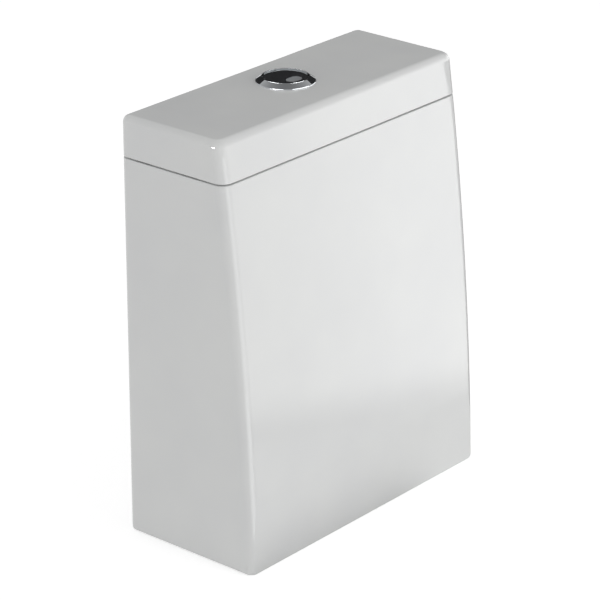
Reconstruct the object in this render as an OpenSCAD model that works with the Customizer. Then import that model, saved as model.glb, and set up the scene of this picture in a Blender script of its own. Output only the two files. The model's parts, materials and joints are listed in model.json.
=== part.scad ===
// Close-coupled toilet cistern: ceramic tank and lid, dual-flush button, flush valve, fill valve and fixings.
// Millimetres. +Z is up, the curved front faces -Y, and the origin is the centre of the foot.

/* [Body] */
// Width over the sides
body_w = 364; // [344:2:420]
// Depth at the foot
foot_depth = 166; // [160:1:168]
// Depth at the rim, just under the lid
rim_depth = 135; // [131:1:139]
// Radius of the curved front, seen from the side
front_r = 3850; // [3500:10:4400]
// How far below the foot the curved front would stand upright
front_level = 120; // [90:5:150]
// Height of the tank's rim
rim_z = 407; // [400:1:440]
// Thickness of the ceramic wall
wall = 10; // [9:0.5:11]
// Height of the floor's underside above the foot
floor_z = 38; // [36:1:44]
// Thickness of the floor
floor_t = 12; // [9:1:16]
// Radius of the upright front corners
corner_r = 12; // [10:0.5:16]
// Radius of the upright back corners
back_corner_r = 8.5; // [7.5:0.5:12]
// Least radius of an inside corner
inner_r = 4; // [3:0.5:6]
// Radius under the back
back_foot_r = 7; // [4:0.5:7.5]
// Radius under the sides
side_foot_r = 6; // [3:0.5:8]
// Radius under the front
front_foot_r = 3; // [1:0.5:5]

/* [Lid] */
// Height of the lid's outside
lid_h = 42.5; // [40:0.5:50]
// Gap between tank and lid, which the pads fill
seam_gap = 1.5; // [1:0.1:2]
// Thickness of the lid's top
lid_t = 10; // [8:0.5:12]
// Radius of the lid's top edges
lid_edge_r = 7.5; // [4:0.5:8]
// Thickness of the lip that locates the lid in the tank
lip_t = 6; // [5:0.5:8]
// How far the lip reaches below the lid's edge
lip_h = 8; // [5:0.5:9]
// Clear space between the lip and the tank's wall
lip_gap = 2; // [1.8:0.1:3]
// Height of the shoulder that carries the lip
shoulder_h = 11; // [8:0.5:14]
// Length of a seam pad
pad_l = 20; // [12:1:24]
// Width of a seam pad
pad_w = 5; // [4:0.5:6]
// Distance of the back pads from the back face
pad_back = 30; // [26:1:36]
// Distance between front and back pads
pad_pitch = 60; // [44:1:62]

/* [Button] */
// Distance of the button's centre from the back face
button_back = 57; // [55:1:61]
// Radius of the chrome flange
flange_r = 30.75; // [30:0.25:34]
// Height of the flange above the lid
flange_h = 5.2; // [4.5:0.1:6]
// Height of the upright land at the flange's edge
flange_land = 0.8; // [0.5:0.1:1.5]
// Width of the flange's flat rim round the disc
flange_rim = 1; // [0.8:0.1:1.4]
// Radius of the large disc
disc_r = 23; // [22:0.25:23.5]
// Thickness of the disc
disc_t = 2.5; // [2:0.1:3]
// How far the disc lies below the flange's rim
disc_sink = 1.1; // [0.8:0.1:2]
// Depth of the skirt below the disc
skirt_h = 9.5; // [8:0.5:10]
// Thickness of the disc's skirt
skirt_t = 2; // [1.2:0.1:2]
// Length of the oval button
oval_l = 18.5; // [17.5:0.5:19.5]
// Width of the oval button
oval_w = 12; // [11:0.5:13]
// Height of the oval button's body
oval_h = 9; // [8:0.5:10]
// How far the oval button lies in front of the disc's centre
oval_front = 11; // [10.5:0.1:11.5]
// Wall of the threaded sleeve
sleeve_wall = 2.45; // [2:0.05:3]
// Length of the sleeve below the lid's top
sleeve_l = 36; // [35:0.5:37]
// Thickness of the ledge at the sleeve's lower end
ledge_t = 2; // [1.5:0.1:3]
// Width of that ledge
ledge_w = 1.5; // [1:0.1:1.8]
// Thickness of the guide plate
guide_t = 3; // [2.5:0.1:3.5]
// Height of the guide plate's bosses
boss_h = 6; // [4:0.5:7]
// Radius of the stem under the disc
full_stem_r = 4; // [3.4:0.1:4.2]
// Radius of the stem under the oval button
half_stem_r = 3.5; // [3.3:0.1:3.7]
// Wall of a guide boss round its stem
boss_wall = 1.6; // [1.2:0.1:1.7]
// Radius of the push rods
push_rod_r = 2.5; // [2.2:0.1:2.6]
// Radius of the spigot that holds a push rod in its stem
spigot_r = 1.8; // [1.5:0.1:2]
// Length of that spigot
spigot_l = 14; // [10:1:16]
// Radius of the stop collar on a push rod
stop_r = 6; // [5:0.5:6]
// Height of the stop collar
stop_h = 4.7; // [3:0.1:5]
// Radius of the wire of the return springs
wire_r = 0.5; // [0.4:0.05:0.5]
// Curls of the full-flush spring
full_curls = 8; // [6:1:9]
// Curls of the half-flush spring
half_curls = 6; // [5:1:7]
// Outer radius of the ring nut under the lid
button_nut_r = 33; // [32:0.5:35]
// Height of the ring nut
button_nut_h = 9; // [7:0.5:10]
// Thickness of the washer under the lid
button_washer_t = 1.5; // [1:0.1:2]

/* [Flush valve] */
// Outer radius of the outlet spigot
outlet_r = 29.8; // [28:0.1:30]
// Wall of the outlet spigot
outlet_wall = 5.3; // [4:0.1:6]
// Height of the spigot's end above the foot
outlet_z = 4; // [2:0.5:6]
// Radius of the valve's base flange
base_r = 42; // [41:0.5:43]
// Thickness of the base flange
base_t = 5; // [4:0.5:7]
// Thickness of the washer under the base flange
base_washer_t = 2; // [1.5:0.1:3]
// Height of the seat above the flange
seat_h = 4; // [3:0.5:6]
// Width of the seat's edge
seat_w = 3; // [2:0.5:4]
// Clear height of the water windows round the seat
window_h = 28; // [26:1:36]
// Radius of a window post
post_r = 3; // [2.5:0.1:3.2]
// Number of window posts
posts = 6; // [4:1:8]
// Height of the bayonet ring
bayonet_h = 7; // [5:0.5:9]
// Inner radius of the bayonet ring
bayonet_r = 34; // [33.8:0.1:35]
// Outer radius of the float chamber
chamber_r = 41; // [40.5:0.1:42]
// Wall of the float chamber
chamber_wall = 2.5; // [2:0.1:3]
// Height of the float chamber
chamber_h = 98; // [90:1:110]
// Thickness of the float chamber's floor
chamber_floor = 4; // [3:0.5:5]
// Width of the water slots in the float chamber
slot_w = 24; // [16:1:26]
// Height of the wall below and above those slots
slot_edge = 18; // [12:1:24]
// Width of the tower's two rails
rail_w = 14; // [12:1:16]
// Thickness of the rails
rail_t = 4; // [3:0.5:5]
// Outer radius of the overflow tube
tube_r = 16; // [15:0.25:16.5]
// Wall of the overflow tube
tube_wall = 2; // [1.5:0.1:2.5]
// Radius of the tube's collar
collar_r = 21; // [20:0.5:22]
// Thickness of the collar and of its lifting arm
collar_t = 4; // [3:0.5:5]
// Height of the tube guide above the float chamber
guide_up = 85; // [75:1:95]
// Wall of the tube guide and of the link guide
guide_wall = 4; // [3:0.5:5]
// Height of the tube guide's ring
guide_h = 6; // [5:0.5:8]
// Radius of the seal
seal_r = 33; // [32:0.1:33.2]
// Thickness of the seal
seal_t = 2.5; // [2:0.1:3]
// Thickness of the carrier's disc over the seal
carrier_t = 3.5; // [3:0.1:5]
// Height of the carrier's socket for the tube
socket_h = 8; // [6:0.5:9]
// Wall of that socket
socket_wall = 2.5; // [2:0.1:3]
// Outer radius of the full-flush float
full_float_r = 34; // [30:0.5:35]
// Height of the full-flush float
full_float_h = 58; // [50:1:62]
// Height of the full-flush float above the chamber's floor
full_float_up = 18; // [12:1:20]
// Wall of the floats
float_wall = 2; // [1.5:0.1:2.5]
// Length of the half-flush float, across the tank
half_float_l = 34; // [28:1:36]
// Width of the half-flush float
half_float_w = 34; // [28:1:36]
// Height of the half-flush float
half_float_h = 47; // [40:1:52]
// Height of the half-flush float above its lower guide
half_float_up = 27; // [22:1:30]
// Radius of the half-flush link
half_link_r = 2.2; // [2:0.1:2.5]
// Outer radius of the nut under the floor
backnut_r = 36; // [35:0.5:37]
// Height of that nut
backnut_h = 12; // [10:0.5:14]
// Lugs on that nut
backnut_lugs = 8; // [6:1:10]
// How far a lug stands out
lug_out = 2; // [1.5:0.1:2.5]
// Outer radius of the coupling gasket
gasket_r = 45; // [43:0.5:45.5]
// Height of the gasket's lower face above the foot
gasket_z = 8; // [6.5:0.5:12]

/* [Rockers] */
// Depth of the rocker pivots below the rim
pivot_drop = 27; // [26:0.5:34]
// Sideways distance of the full-flush stem from the valve's axis
full_stem_x = 14; // [13:0.25:14.5]
// Distance of the full-flush stem behind the valve's axis
full_stem_y = 2; // [1:0.25:3]
// Sideways distance of the half-flush stem from the valve's axis
half_stem_x = 5; // [4:0.25:5.5]
// Length of the full rocker from pad to pivot
full_pad_arm = 17; // [16:0.25:19]
// Length of the full rocker from pivot to nose
full_nose_arm = 25; // [23:0.25:26]
// Length of the half rocker from pad to pivot
half_pad_arm = 24; // [23.5:0.25:26]
// Length of the half rocker from pivot to nose
half_nose_arm = 24; // [22:0.25:25]
// Length of a rocker's pad past the push rod
pad_over = 4; // [3:0.5:5]
// Width of a rocker
rocker_w = 8.4; // [7:0.2:8.8]
// Height of a rocker's top above its pivot
rocker_up = 5; // [4.5:0.1:5.5]
// Depth of a rocker's underside below its pivot
rocker_down = 3; // [2:0.1:3.5]
// Radius of a rocker's nose
nose_r = 3; // [2.5:0.1:3]
// Radius of a rocker's hub
rocker_hub_r = 6; // [5:0.25:6.5]
// Radius of the pivot pins
pivot_r = 2; // [1.5:0.1:2.5]
// Thickness of the cheeks
cheek_t = 3; // [2.5:0.1:3]
// Width of the cheeks
cheek_w = 10; // [8:0.5:10]
// Height of the cheeks above the pivot
cheek_up = 6; // [5:0.5:7]
// Thickness of the head plate
plate_t = 4; // [3:0.5:5]
// Depth of the head plate's top below the pivots
plate_drop = 38; // [36:0.5:42]
// Half width of the head plate's cross bar
plate_half_w = 20; // [18:0.5:22]
// Gap above the head plate at which the collar rests
collar_gap = 6; // [4:0.5:8]
// Thickness of the lifting hooks
hook_t = 4; // [3:0.5:5]
// Width of the lifting hooks
hook_w = 8; // [6:0.5:8.4]
// Clear space between a rocker's nose and its hook
hook_gap = 0.4; // [0.4:0.05:0.8]

/* [Fill valve] */
// Distance of the fill valve from the left side
fill_side = 57; // [55:1:61]
// Distance of the fill valve behind the middle
fill_y = 5; // [0:1:10]
// Outer radius of the threaded tail
tail_r = 10.45; // [10.2:0.05:10.6]
// Radius of the tail's waterway
tail_bore_r = 6.5; // [5.5:0.1:7]
// Height of the tail's end above the foot
tail_z = 4; // [2:0.5:6]
// Radius of the tail's flange
tail_flange_r = 18; // [16:0.5:20]
// Thickness of the tail's flange
tail_flange_t = 4; // [3:0.5:6]
// Thickness of the washer under the tail's flange
tail_washer_t = 2; // [1.5:0.1:3]
// Radius of that washer
tail_washer_r = 17; // [15:0.5:19]
// Height of the nut under the floor
tail_nut_h = 10; // [8:0.5:12]
// Distance across the nut's flats
tail_nut_af = 30; // [27:0.5:32]
// Length of the inlet filter
filter_l = 18; // [14:1:22]
// Wall of the inlet filter
filter_wall = 1; // [0.8:0.1:1.2]
// Outer radius of the lower tube
lower_tube_r = 11; // [10:0.25:11.5]
// Length of the lower tube inside the riser
tube_overlap = 100; // [80:5:110]
// Outer radius of the riser
riser_r = 14; // [13.5:0.25:15]
// Height of the riser
riser_h = 168; // [160:2:190]
// Height of the lock ring
lock_h = 10; // [8:0.5:12]
// Outer radius of the lock ring
lock_r = 17.5; // [16:0.5:20]
// Depth of the fill head's foot below the rim
head_drop = 89; // [86:1:96]
// Radius of the fill head
head_r = 20; // [19:0.25:21]
// Height of the fill head
head_h = 26; // [24:0.5:28]
// Wall of the fill head
head_wall = 2.7; // [2:0.1:3]
// Width of the outlet ports in the fill head
port_w = 10; // [8:0.5:12]
// Height of those ports
port_h = 6; // [4:0.5:8]
// Thickness of the diaphragm
diaphragm_t = 2.6; // [2:0.1:3]
// Height of the head's cap
cap_h = 8; // [7:0.5:10]
// Radius of the float cup
cup_r = 36; // [32:0.5:38]
// Height of the float cup
cup_h = 67; // [55:1:70]
// Travel of the float cup
cup_travel = 12; // [10:0.5:13]
// Clear space above the float cup at the end of its travel
cup_headroom = 14; // [10:0.5:16]
// Distance of the float link from the valve's axis
link_x = 27; // [26:0.25:29]
// Radius of the float link
link_r = 2; // [1.6:0.1:2.2]
// Radius of the link's stops
link_stop_r = 4; // [3.5:0.1:4.5]
// Height of the link's stops
stop_t = 3; // [2:0.5:4]
// Height of the lever's pivot above the cap
lever_up = 8; // [7.5:0.1:9]
// Distance of the lever's pivot from the valve's axis
lever_x = 2; // [1:0.25:3]
// Width of the lever
lever_w = 7; // [6:0.2:7.4]
// Thickness of the lever
lever_t = 6; // [5:0.2:6.4]
// Length of the lever's short end
lever_tail = 11; // [9:0.5:12]
// Width of a prong of the lever's fork
prong_w = 3; // [2.5:0.1:3.5]
// Radius of the lever's pin
lever_pin_r = 1.5; // [1.2:0.1:1.8]
// Thickness of the lugs that hold the lever's pin
lever_lug_t = 2.5; // [2:0.1:3]
// Width of those lugs
lever_lug_w = 9; // [8:0.5:10]
// Height of those lugs above the pin
lever_lug_up = 4; // [3:0.5:5]
// Distance of the pilot nozzle from the lever's pivot
pilot_arm = 8; // [7:0.25:9]
// Radius of the pilot nozzle
pilot_r = 2; // [1.5:0.1:2.2]

/* [Fixings] */
// Distance between the coupling bolts
bolt_pitch = 150; // [140:1:170]
// Radius of the coupling bolts
bolt_r = 4; // [3:0.5:5]
// Height of the bolts' ends above the foot
bolt_z = 3; // [2:0.5:6]
// Radius of the bolt heads
bolt_head_r = 9; // [8:0.5:11]
// Height of the bolt heads
bolt_head_h = 5; // [4:0.5:7]
// Radius of the rubber washers
rubber_r = 14; // [11:0.5:16]
// Thickness of the rubber washers
rubber_t = 3; // [2:0.5:5]
// Radius of the steel washers
steel_r = 11; // [9:0.5:12]
// Thickness of the steel washers
steel_t = 1.6; // [1.2:0.1:2.4]
// Distance across the flats of the bolt nuts
bolt_nut_af = 13; // [12:0.5:17]
// Height of the bolt nuts
bolt_nut_h = 6.5; // [5:0.5:8]

/* [Fits] */
// Clear space between faces that slide past each other
run_gap = 0.3; // [0.25:0.05:0.4]
// Radial clearance of a pin in its hole
pin_gap = 0.05; // [0.03:0.01:0.08]
// Radial clearance of a nut on its thread, or of a tube in its socket
thread_gap = 0.1; // [0.05:0.05:0.2]
// Radial clearance of a bolt or tail in the tank's floor
floor_gap = 1.5; // [1:0.25:2]
// Width of the run-out groove in a thread, just below its nut
groove_w = 1; // [0.5:0.1:2]
// Depth of that groove
groove_d = 0.5; // [0.3:0.1:1]

/* [Hidden] */

// Steps of a full turn, and of the front's long arc, were it a full turn
turn_steps = 96;
arc_steps = 720;
$fn = turn_steps;

// Past the face that a cut goes through
over = 1;

// How far a pivot pin stands out of its lug
pin_out = 0.5;

// Body: the front is an arc about an axis far behind the tank, and the foot cuts it off square
back_y = foot_depth / 2;
floor_top = floor_z + floor_t;
lid_bottom = rim_z + seam_gap;
lid_top = lid_bottom + lid_h;
arc_y = back_y - rim_depth + sqrt(front_r ^ 2 - (rim_z + front_level) ^ 2);
slab_t = 2 * foot_depth;
front_sweep = asin((lid_top + 2 * front_level) / (front_r - slab_t));

// Lid: where the top's front edge is rounded
lid_under = lid_top - lid_t;
lip_out = wall + lip_gap;
lip_in = lip_out + lip_t;
lid_edge_z = lid_top - lid_edge_r;
lid_edge_y = arc_y - sqrt((front_r - lid_edge_r) ^ 2 - (lid_edge_z + front_level) ^ 2);
lid_lean = asin((lid_edge_z + front_level) / (front_r - lid_edge_r));

// Button: heights of the stack in the sleeve, from the lid's top down
valve_y = back_y - button_back;
rim_top = lid_top + flange_h;
disc_top = rim_top - disc_sink;
disc_under = disc_top - disc_t;
oval_under = disc_top - oval_h;
bore_r = disc_r + run_gap;
sleeve_r = bore_r + sleeve_wall;
sleeve_z = lid_top - sleeve_l;
guide_z = sleeve_z + ledge_t;
guide_top = guide_z + guide_t;
boss_top = guide_top + boss_h;
stem_z = guide_z - run_gap;
stop_z = stem_z - stop_h;
full_coil_r = full_stem_r + run_gap + 2 * wire_r;
half_coil_r = half_stem_r + run_gap + 2 * wire_r;
lid_hole_r = sleeve_r + 2 * run_gap;

// Rockers: the rods press the pads, and the noses lift the hooks
pivot_z = rim_z - pivot_drop;
pad_top = pivot_z + rocker_up;
rod_tip_z = pad_top + run_gap;
plate_top = pivot_z - plate_drop;
plate_z = plate_top - plate_t;
cheek_gap = rocker_w / 2 + run_gap + pin_gap;
full_pivot_x = full_stem_x + full_pad_arm;
half_pivot_x = -half_stem_x - half_pad_arm;
half_rocker_y = -oval_front;
nose_up = rocker_up - nose_r;
full_nose_x = full_pivot_x + full_nose_arm;
half_nose_x = half_pivot_x - half_nose_arm;
hook_z = pad_top + hook_gap;
hook_reach = nose_r + hook_t;
full_hook_x = full_nose_x + nose_r + hook_t;
half_link_x = half_nose_x - nose_r - half_link_r - hook_gap - run_gap;
head_half_l = max(full_hook_x, -half_link_x + half_link_r) + hook_t;

// Flush valve: heights from the floor up
base_z = floor_top + base_washer_t;
base_top = base_z + base_t;
seat_z = base_top + seat_h;
outlet_bore_r = outlet_r - outlet_wall;
bayonet_z = base_top + window_h;
tower_z = bayonet_z + bayonet_h;
post_ring_r = (bayonet_r + base_r) / 2 - run_gap;
seal_top = seat_z + seal_t;
tube_z = seal_top + carrier_t;
collar_z = plate_top + collar_gap;
tube_top = collar_z + collar_t;
tube_bore_r = tube_r - tube_wall;
chamber_top = tower_z + chamber_h;
rail_y = chamber_r - rail_t;
tube_hole_r = tube_r + 2 * run_gap;
float_z = tower_z + chamber_floor + full_float_up;
lug_z = chamber_top - guide_h;
half_float_z = chamber_top + half_float_up;

// Fill valve: heights from the rim down and from the floor up
fill_x = body_w / 2 - fill_side;
head_z = rim_z - head_drop;
cap_z = head_z + head_h;
cap_top = cap_z + cap_h;
shelf_z = cap_z - 2 * diaphragm_t;
riser_z = head_z - riser_h;
riser_bore_r = lower_tube_r + thread_gap;
tail_top = floor_top + tail_washer_t + tail_flange_t;
tail_nut_z = floor_z - tail_nut_h;
lower_tube_top = riser_z + tube_overlap;
cup_top = head_z - cup_headroom - cup_travel;
cup_z = cup_top - cup_h;
rest_z = cup_z - run_gap;
lever_z = cap_top + lever_up;
lever_turn = cup_travel / (link_x + lever_x) * 180 / PI;
link_arm = link_x + lever_x;
stop_inner = link_arm - link_stop_r;
stop_outer = link_arm + link_stop_r;
low_stop = stop_inner * tan(lever_turn) - lever_t / 2 / cos(lever_turn) - cup_travel - run_gap;
high_stop = stop_outer * tan(lever_turn) + lever_t / 2 / cos(lever_turn) - cup_travel + run_gap;
lever_lug_gap = lever_w / 2 + run_gap + pin_gap;
fork_r = link_r + run_gap;
fork_w = 2 * (fork_r + prong_w);
pilot_top = lever_z - (pilot_arm + pilot_r) * tan(lever_turn) - lever_t / 2 / cos(lever_turn) - run_gap;

// Fixings: the nuts clamp the floor from below
bolt_nut_z = floor_z - steel_t - bolt_nut_h;

// Shapes that repeat

// Upright cylinder between two heights
module post(z0, z1, r) {
  translate([0, 0, z0])
    cylinder(h = z1 - z0, r = r);
}

// Upright ring between two heights
module ring(z0, z1, r_out, r_in) {
  difference() {
    post(z0, z1, r_out);
    post(z0 - over, z1 + over, r_in);
  }
}

// Box between two heights, centred on its place in plan
module block(x, y, l, w, z0, z1) {
  translate([x - l / 2, y - w / 2, z0])
    cube([l, w, z1 - z0]);
}

// What a rounded corner loses: the corner is at x, y and points along sx, sy
module corner_waste(x, y, sx, sy, r) {
  side = r + over;
  translate([x - sx * r, y - sy * r])
    difference() {
      translate([sx < 0 ? -side : 0, sy < 0 ? -side : 0])
        square(side);
      circle(r);
    }
}

// Outline drawn from the left side, as Y and Z, pulled out along X
module side_view(l) {
  rotate([90, 0, 90])
    linear_extrude(l, center = true)
      children();
}

// Outline drawn from the front, as X and Z, pulled out along Y
module front_view(l) {
  rotate([90, 0, 0])
    linear_extrude(l, center = true)
      children();
}

// Outline with round ends, long way along X
module stadium(l, w) {
  union() {
    square([l - w, w], center = true);
    for (side = [-1, 1])
      translate([side * (l - w) / 2, 0])
        circle(d = w);
  }
}

// Places of the parts
module at_valve() {
  translate([0, valve_y, 0])
    children();
}

module at_fill() {
  translate([-fill_x, fill_y, 0])
    children();
}

module at_full_stem() {
  at_valve()
    translate([full_stem_x, full_stem_y, 0])
      children();
}

module at_half_stem() {
  at_valve()
    translate([-half_stem_x, -oval_front, 0])
      children();
}

module at_bolts() {
  for (side = [-1, 1])
    translate([side * bolt_pitch / 2, valve_y, 0])
      children();
}

// Ceramic

// Slab with the curved front and its two rounded corners, set in from the outside
module front_slab(inset) {
  r = front_r - inset;
  w = body_w - 2 * inset;
  round_r = max(corner_r - inset, inner_r);
  translate([0, arc_y, -front_level])
    rotate([0, 90, 0])
      rotate([0, 0, -90 - front_sweep])
        rotate_extrude(angle = front_sweep, $fn = arc_steps)
          difference() {
            translate([r - slab_t, -w / 2])
              square([slab_t, w]);
            corner_waste(r, -w / 2, 1, -1, round_r, $fn = turn_steps);
            corner_waste(r, w / 2, 1, 1, round_r, $fn = turn_steps);
          }
}

// Upright block with rounded back corners, cut square at the foot's front, set in from the outside
module plan_block(inset, z0, z1) {
  w = body_w - 2 * inset;
  y1 = back_y - inset;
  round_r = max(back_corner_r - inset, inner_r);
  translate([0, 0, z0])
    linear_extrude(z1 - z0)
      difference() {
        translate([-w / 2, -y1])
          square([w, 2 * y1]);
        corner_waste(-w / 2, y1, -1, 1, round_r);
        corner_waste(w / 2, y1, 1, 1, round_r);
      }
}

// The body's form between two heights, set in from the outside
module body_form(inset, z0, z1) {
  intersection() {
    front_slab(inset);
    plan_block(inset, z0, z1);
  }
}

module tank() {
  color("whitesmoke")
    difference() {
      intersection() {
        body_form(0, 0, rim_z);
        side_view(2 * body_w)
          difference() {
            translate([-back_y, 0])
              square([2 * back_y, 2 * rim_z]);
            corner_waste(back_y, 0, 1, -1, back_foot_r);
            corner_waste(-back_y, 0, -1, -1, front_foot_r);
          }
        front_view(2 * body_w)
          difference() {
            translate([-body_w / 2, 0])
              square([body_w, 2 * rim_z]);
            corner_waste(-body_w / 2, 0, -1, -1, side_foot_r);
            corner_waste(body_w / 2, 0, 1, -1, side_foot_r);
          }
      }
      body_form(wall, floor_top, rim_z + over);
      body_form(wall, -over, floor_z);
      at_valve()
        post(floor_z - over, floor_top + over, outlet_r + floor_gap);
      at_fill()
        post(floor_z - over, floor_top + over, tail_r + floor_gap);
      at_bolts()
        post(floor_z - over, floor_top + over, bolt_r + floor_gap);
    }
}

// What the lid's front edge loses to its rounding, which meets the leaning front
module lid_front_waste() {
  reach = 4 * lid_edge_r;
  translate([lid_edge_y, lid_edge_z])
    difference() {
      polygon([
        [0, 0],
        [-reach * cos(lid_lean), reach * sin(lid_lean)],
        [-reach, reach],
        [0, reach]
      ]);
      circle(lid_edge_r);
    }
}

module lid() {
  color("whitesmoke")
    union() {
      difference() {
        intersection() {
          body_form(0, lid_bottom, lid_top);
          side_view(2 * body_w)
            difference() {
              translate([-back_y, 0])
                square([2 * back_y, lid_top]);
              corner_waste(back_y, lid_top, 1, 1, lid_edge_r);
              lid_front_waste();
            }
          front_view(2 * body_w)
            difference() {
              translate([-body_w / 2, 0])
                square([body_w, lid_top]);
              corner_waste(-body_w / 2, lid_top, -1, 1, lid_edge_r);
              corner_waste(body_w / 2, lid_top, 1, 1, lid_edge_r);
            }
        }
        body_form(lip_in, lid_bottom - over, lid_bottom + shoulder_h);
        body_form(wall, lid_bottom + shoulder_h, lid_under);
        at_valve()
          post(lid_under - over, lid_top + over, lid_hole_r);
      }
      difference() {
        body_form(lip_out, lid_bottom - lip_h, lid_bottom + over);
        body_form(lip_in, lid_bottom - lip_h - over, lid_bottom + 2 * over);
      }
    }
}

module lid_pads() {
  pad_x = (body_w - wall) / 2;
  color("dimgray")
    for (side = [-1, 1])
      for (step = [0, 1])
        block(side * pad_x, back_y - pad_back - step * pad_pitch, pad_w, pad_l, rim_z, lid_bottom);
}

// Button in the lid

module button_bezel() {
  color("silver")
    at_valve()
      rotate_extrude()
        polygon([
          [bore_r, guide_z],
          [bore_r, rim_top],
          [bore_r + flange_rim, rim_top],
          [flange_r, lid_top + flange_land],
          [flange_r, lid_top],
          [sleeve_r, lid_top],
          [sleeve_r, sleeve_z],
          [bore_r - ledge_w, sleeve_z],
          [bore_r - ledge_w, guide_z]
        ]);
}

module button_washer() {
  color("dimgray")
    at_valve()
      ring(lid_under - button_washer_t, lid_under, button_nut_r, sleeve_r + thread_gap);
}

module button_nut() {
  nut_top = lid_under - button_washer_t;
  wings = 6;
  wing_out = 3;
  wing_w = 6;
  color("white")
    at_valve() {
      ring(nut_top - button_nut_h, nut_top, button_nut_r - wing_out, sleeve_r + thread_gap);
      for (i = [0 : wings - 1])
        rotate([0, 0, i * 360 / wings])
          intersection() {
            ring(nut_top - button_nut_h, nut_top, button_nut_r, button_nut_r - wing_out - over);
            block(button_nut_r, 0, 4 * wing_out, wing_w, nut_top - button_nut_h, nut_top);
          }
    }
}

module button_guide() {
  full_hole = full_stem_r + run_gap;
  half_hole = half_stem_r + run_gap;
  color("white")
    difference() {
      union() {
        at_valve()
          post(guide_z, guide_top, bore_r - thread_gap);
        at_full_stem()
          post(guide_z, boss_top, full_hole + boss_wall);
        at_half_stem()
          post(guide_z, boss_top, half_hole + boss_wall);
      }
      at_full_stem()
        post(guide_z - over, boss_top + over, full_hole);
      at_half_stem()
        post(guide_z - over, boss_top + over, half_hole);
    }
}

module full_flush_button() {
  color("silver")
    difference() {
      union() {
        at_valve() {
          post(disc_under, disc_top, disc_r);
          ring(disc_under - skirt_h, disc_under + over, disc_r, disc_r - skirt_t);
        }
        at_full_stem()
          post(stem_z, disc_under + over, full_stem_r);
      }
      at_valve()
        translate([0, -oval_front, disc_under - over])
          linear_extrude(disc_t + 2 * over)
            stadium(oval_l + 2 * run_gap, oval_w + 2 * run_gap);
      at_full_stem()
        post(stem_z - over, stem_z + spigot_l + over, spigot_r + pin_gap);
    }
}

module half_flush_button() {
  color("silver")
    difference() {
      union() {
        at_valve()
          translate([0, -oval_front, oval_under])
            linear_extrude(oval_h)
              stadium(oval_l, oval_w);
        at_half_stem()
          post(stem_z, oval_under + over, half_stem_r);
      }
      at_half_stem()
        post(stem_z - over, stem_z + spigot_l + over, spigot_r + pin_gap);
    }
}

// Return springs: each is one round wire swept along a helix

spring_steps = 8;
wire_sides = 6;

function coil_point(coil_r, z0, z1, curls, i) =
  let (turn = 360 * i / spring_steps)
  [coil_r * cos(turn), coil_r * sin(turn), z0 + (z1 - z0) * i / (curls * spring_steps)];

function wire_point(coil_r, z0, z1, curls, i, side) =
  let (turn = 360 * i / spring_steps)
  let (climb = atan((z1 - z0) / curls / (2 * PI * coil_r)))
  let (round_way = 360 * side / wire_sides)
  let (out = [cos(turn), sin(turn), 0])
  let (up = [sin(turn) * sin(climb), -cos(turn) * sin(climb), cos(climb)])
  coil_point(coil_r, z0, z1, curls, i) + wire_r * (cos(round_way) * out + sin(round_way) * up);

// Least gap between points of the wire that lie more than half a curl apart
function least_gap(coil_r, z0, z1, curls) =
  min([
    for (i = [0 : curls * spring_steps])
      for (j = [i + spring_steps / 2 + 1 : curls * spring_steps])
        norm(coil_point(coil_r, z0, z1, curls, i) - coil_point(coil_r, z0, z1, curls, j))
  ]) - 2 * wire_r;

module spring(coil_r, low, high, curls) {
  z0 = low + wire_r + run_gap;
  z1 = high - wire_r - run_gap;
  rings = curls * spring_steps;
  points = [
    for (i = [0 : rings])
      for (side = [0 : wire_sides - 1])
        wire_point(coil_r, z0, z1, curls, i, side)
  ];
  walls = [
    for (i = [0 : rings - 1])
      for (side = [0 : wire_sides - 1])
        let (a = i * wire_sides + side)
        let (b = i * wire_sides + (side + 1) % wire_sides)
        each [[a, a + wire_sides, b], [b, a + wire_sides, b + wire_sides]]
  ];
  last = rings * wire_sides;
  caps = [
    for (side = [1 : wire_sides - 2])
      each [[0, side, side + 1], [last, last + side + 1, last + side]]
  ];
  polyhedron(points, concat(walls, caps));
  echo("least gap between curls", least_gap(coil_r, z0, z1, curls));
}

module full_spring() {
  color("silver")
    at_full_stem()
      spring(full_coil_r, boss_top, disc_under, full_curls);
}

module half_spring() {
  color("silver")
    at_half_stem()
      spring(half_coil_r, boss_top, oval_under, half_curls);
}

// Rod with a stop collar, a spigot for its stem and a round tip
module push_rod() {
  post(stem_z, stem_z + spigot_l, spigot_r);
  post(stop_z, stem_z, stop_r);
  post(rod_tip_z + push_rod_r, stop_z, push_rod_r);
  translate([0, 0, rod_tip_z + push_rod_r])
    sphere(push_rod_r);
}

module full_push_rod() {
  color("white")
    at_full_stem()
      push_rod();
}

module half_push_rod() {
  color("deepskyblue")
    at_half_stem()
      push_rod();
}

// Flush valve

module valve_base() {
  color("white")
    at_valve() {
      ring(outlet_z, base_z + over, outlet_r, outlet_bore_r);
      ring(base_z, base_top, base_r, outlet_bore_r);
      ring(base_top, seat_z, outlet_bore_r + seat_w, outlet_bore_r);
      ring(bayonet_z, tower_z, base_r - run_gap, bayonet_r);
      for (i = [0 : posts - 1])
        rotate([0, 0, (i + 0.5) * 360 / posts])
          translate([post_ring_r, 0, 0])
            post(base_z + over, tower_z - over, post_r);
    }
}

module base_washer() {
  color("dimgray")
    at_valve()
      ring(floor_top, base_z, base_r, outlet_r + thread_gap);
}

module outlet_backnut() {
  nut_z = floor_z - backnut_h;
  lug_w = 7;
  color("white")
    at_valve() {
      ring(nut_z, floor_z, backnut_r, outlet_r + thread_gap);
      for (i = [0 : backnut_lugs - 1])
        rotate([0, 0, i * 360 / backnut_lugs])
          intersection() {
            ring(nut_z, floor_z, backnut_r + lug_out, backnut_r - over);
            block(backnut_r, 0, 4 * lug_out + 2 * over, lug_w, nut_z, floor_z);
          }
    }
}

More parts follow.
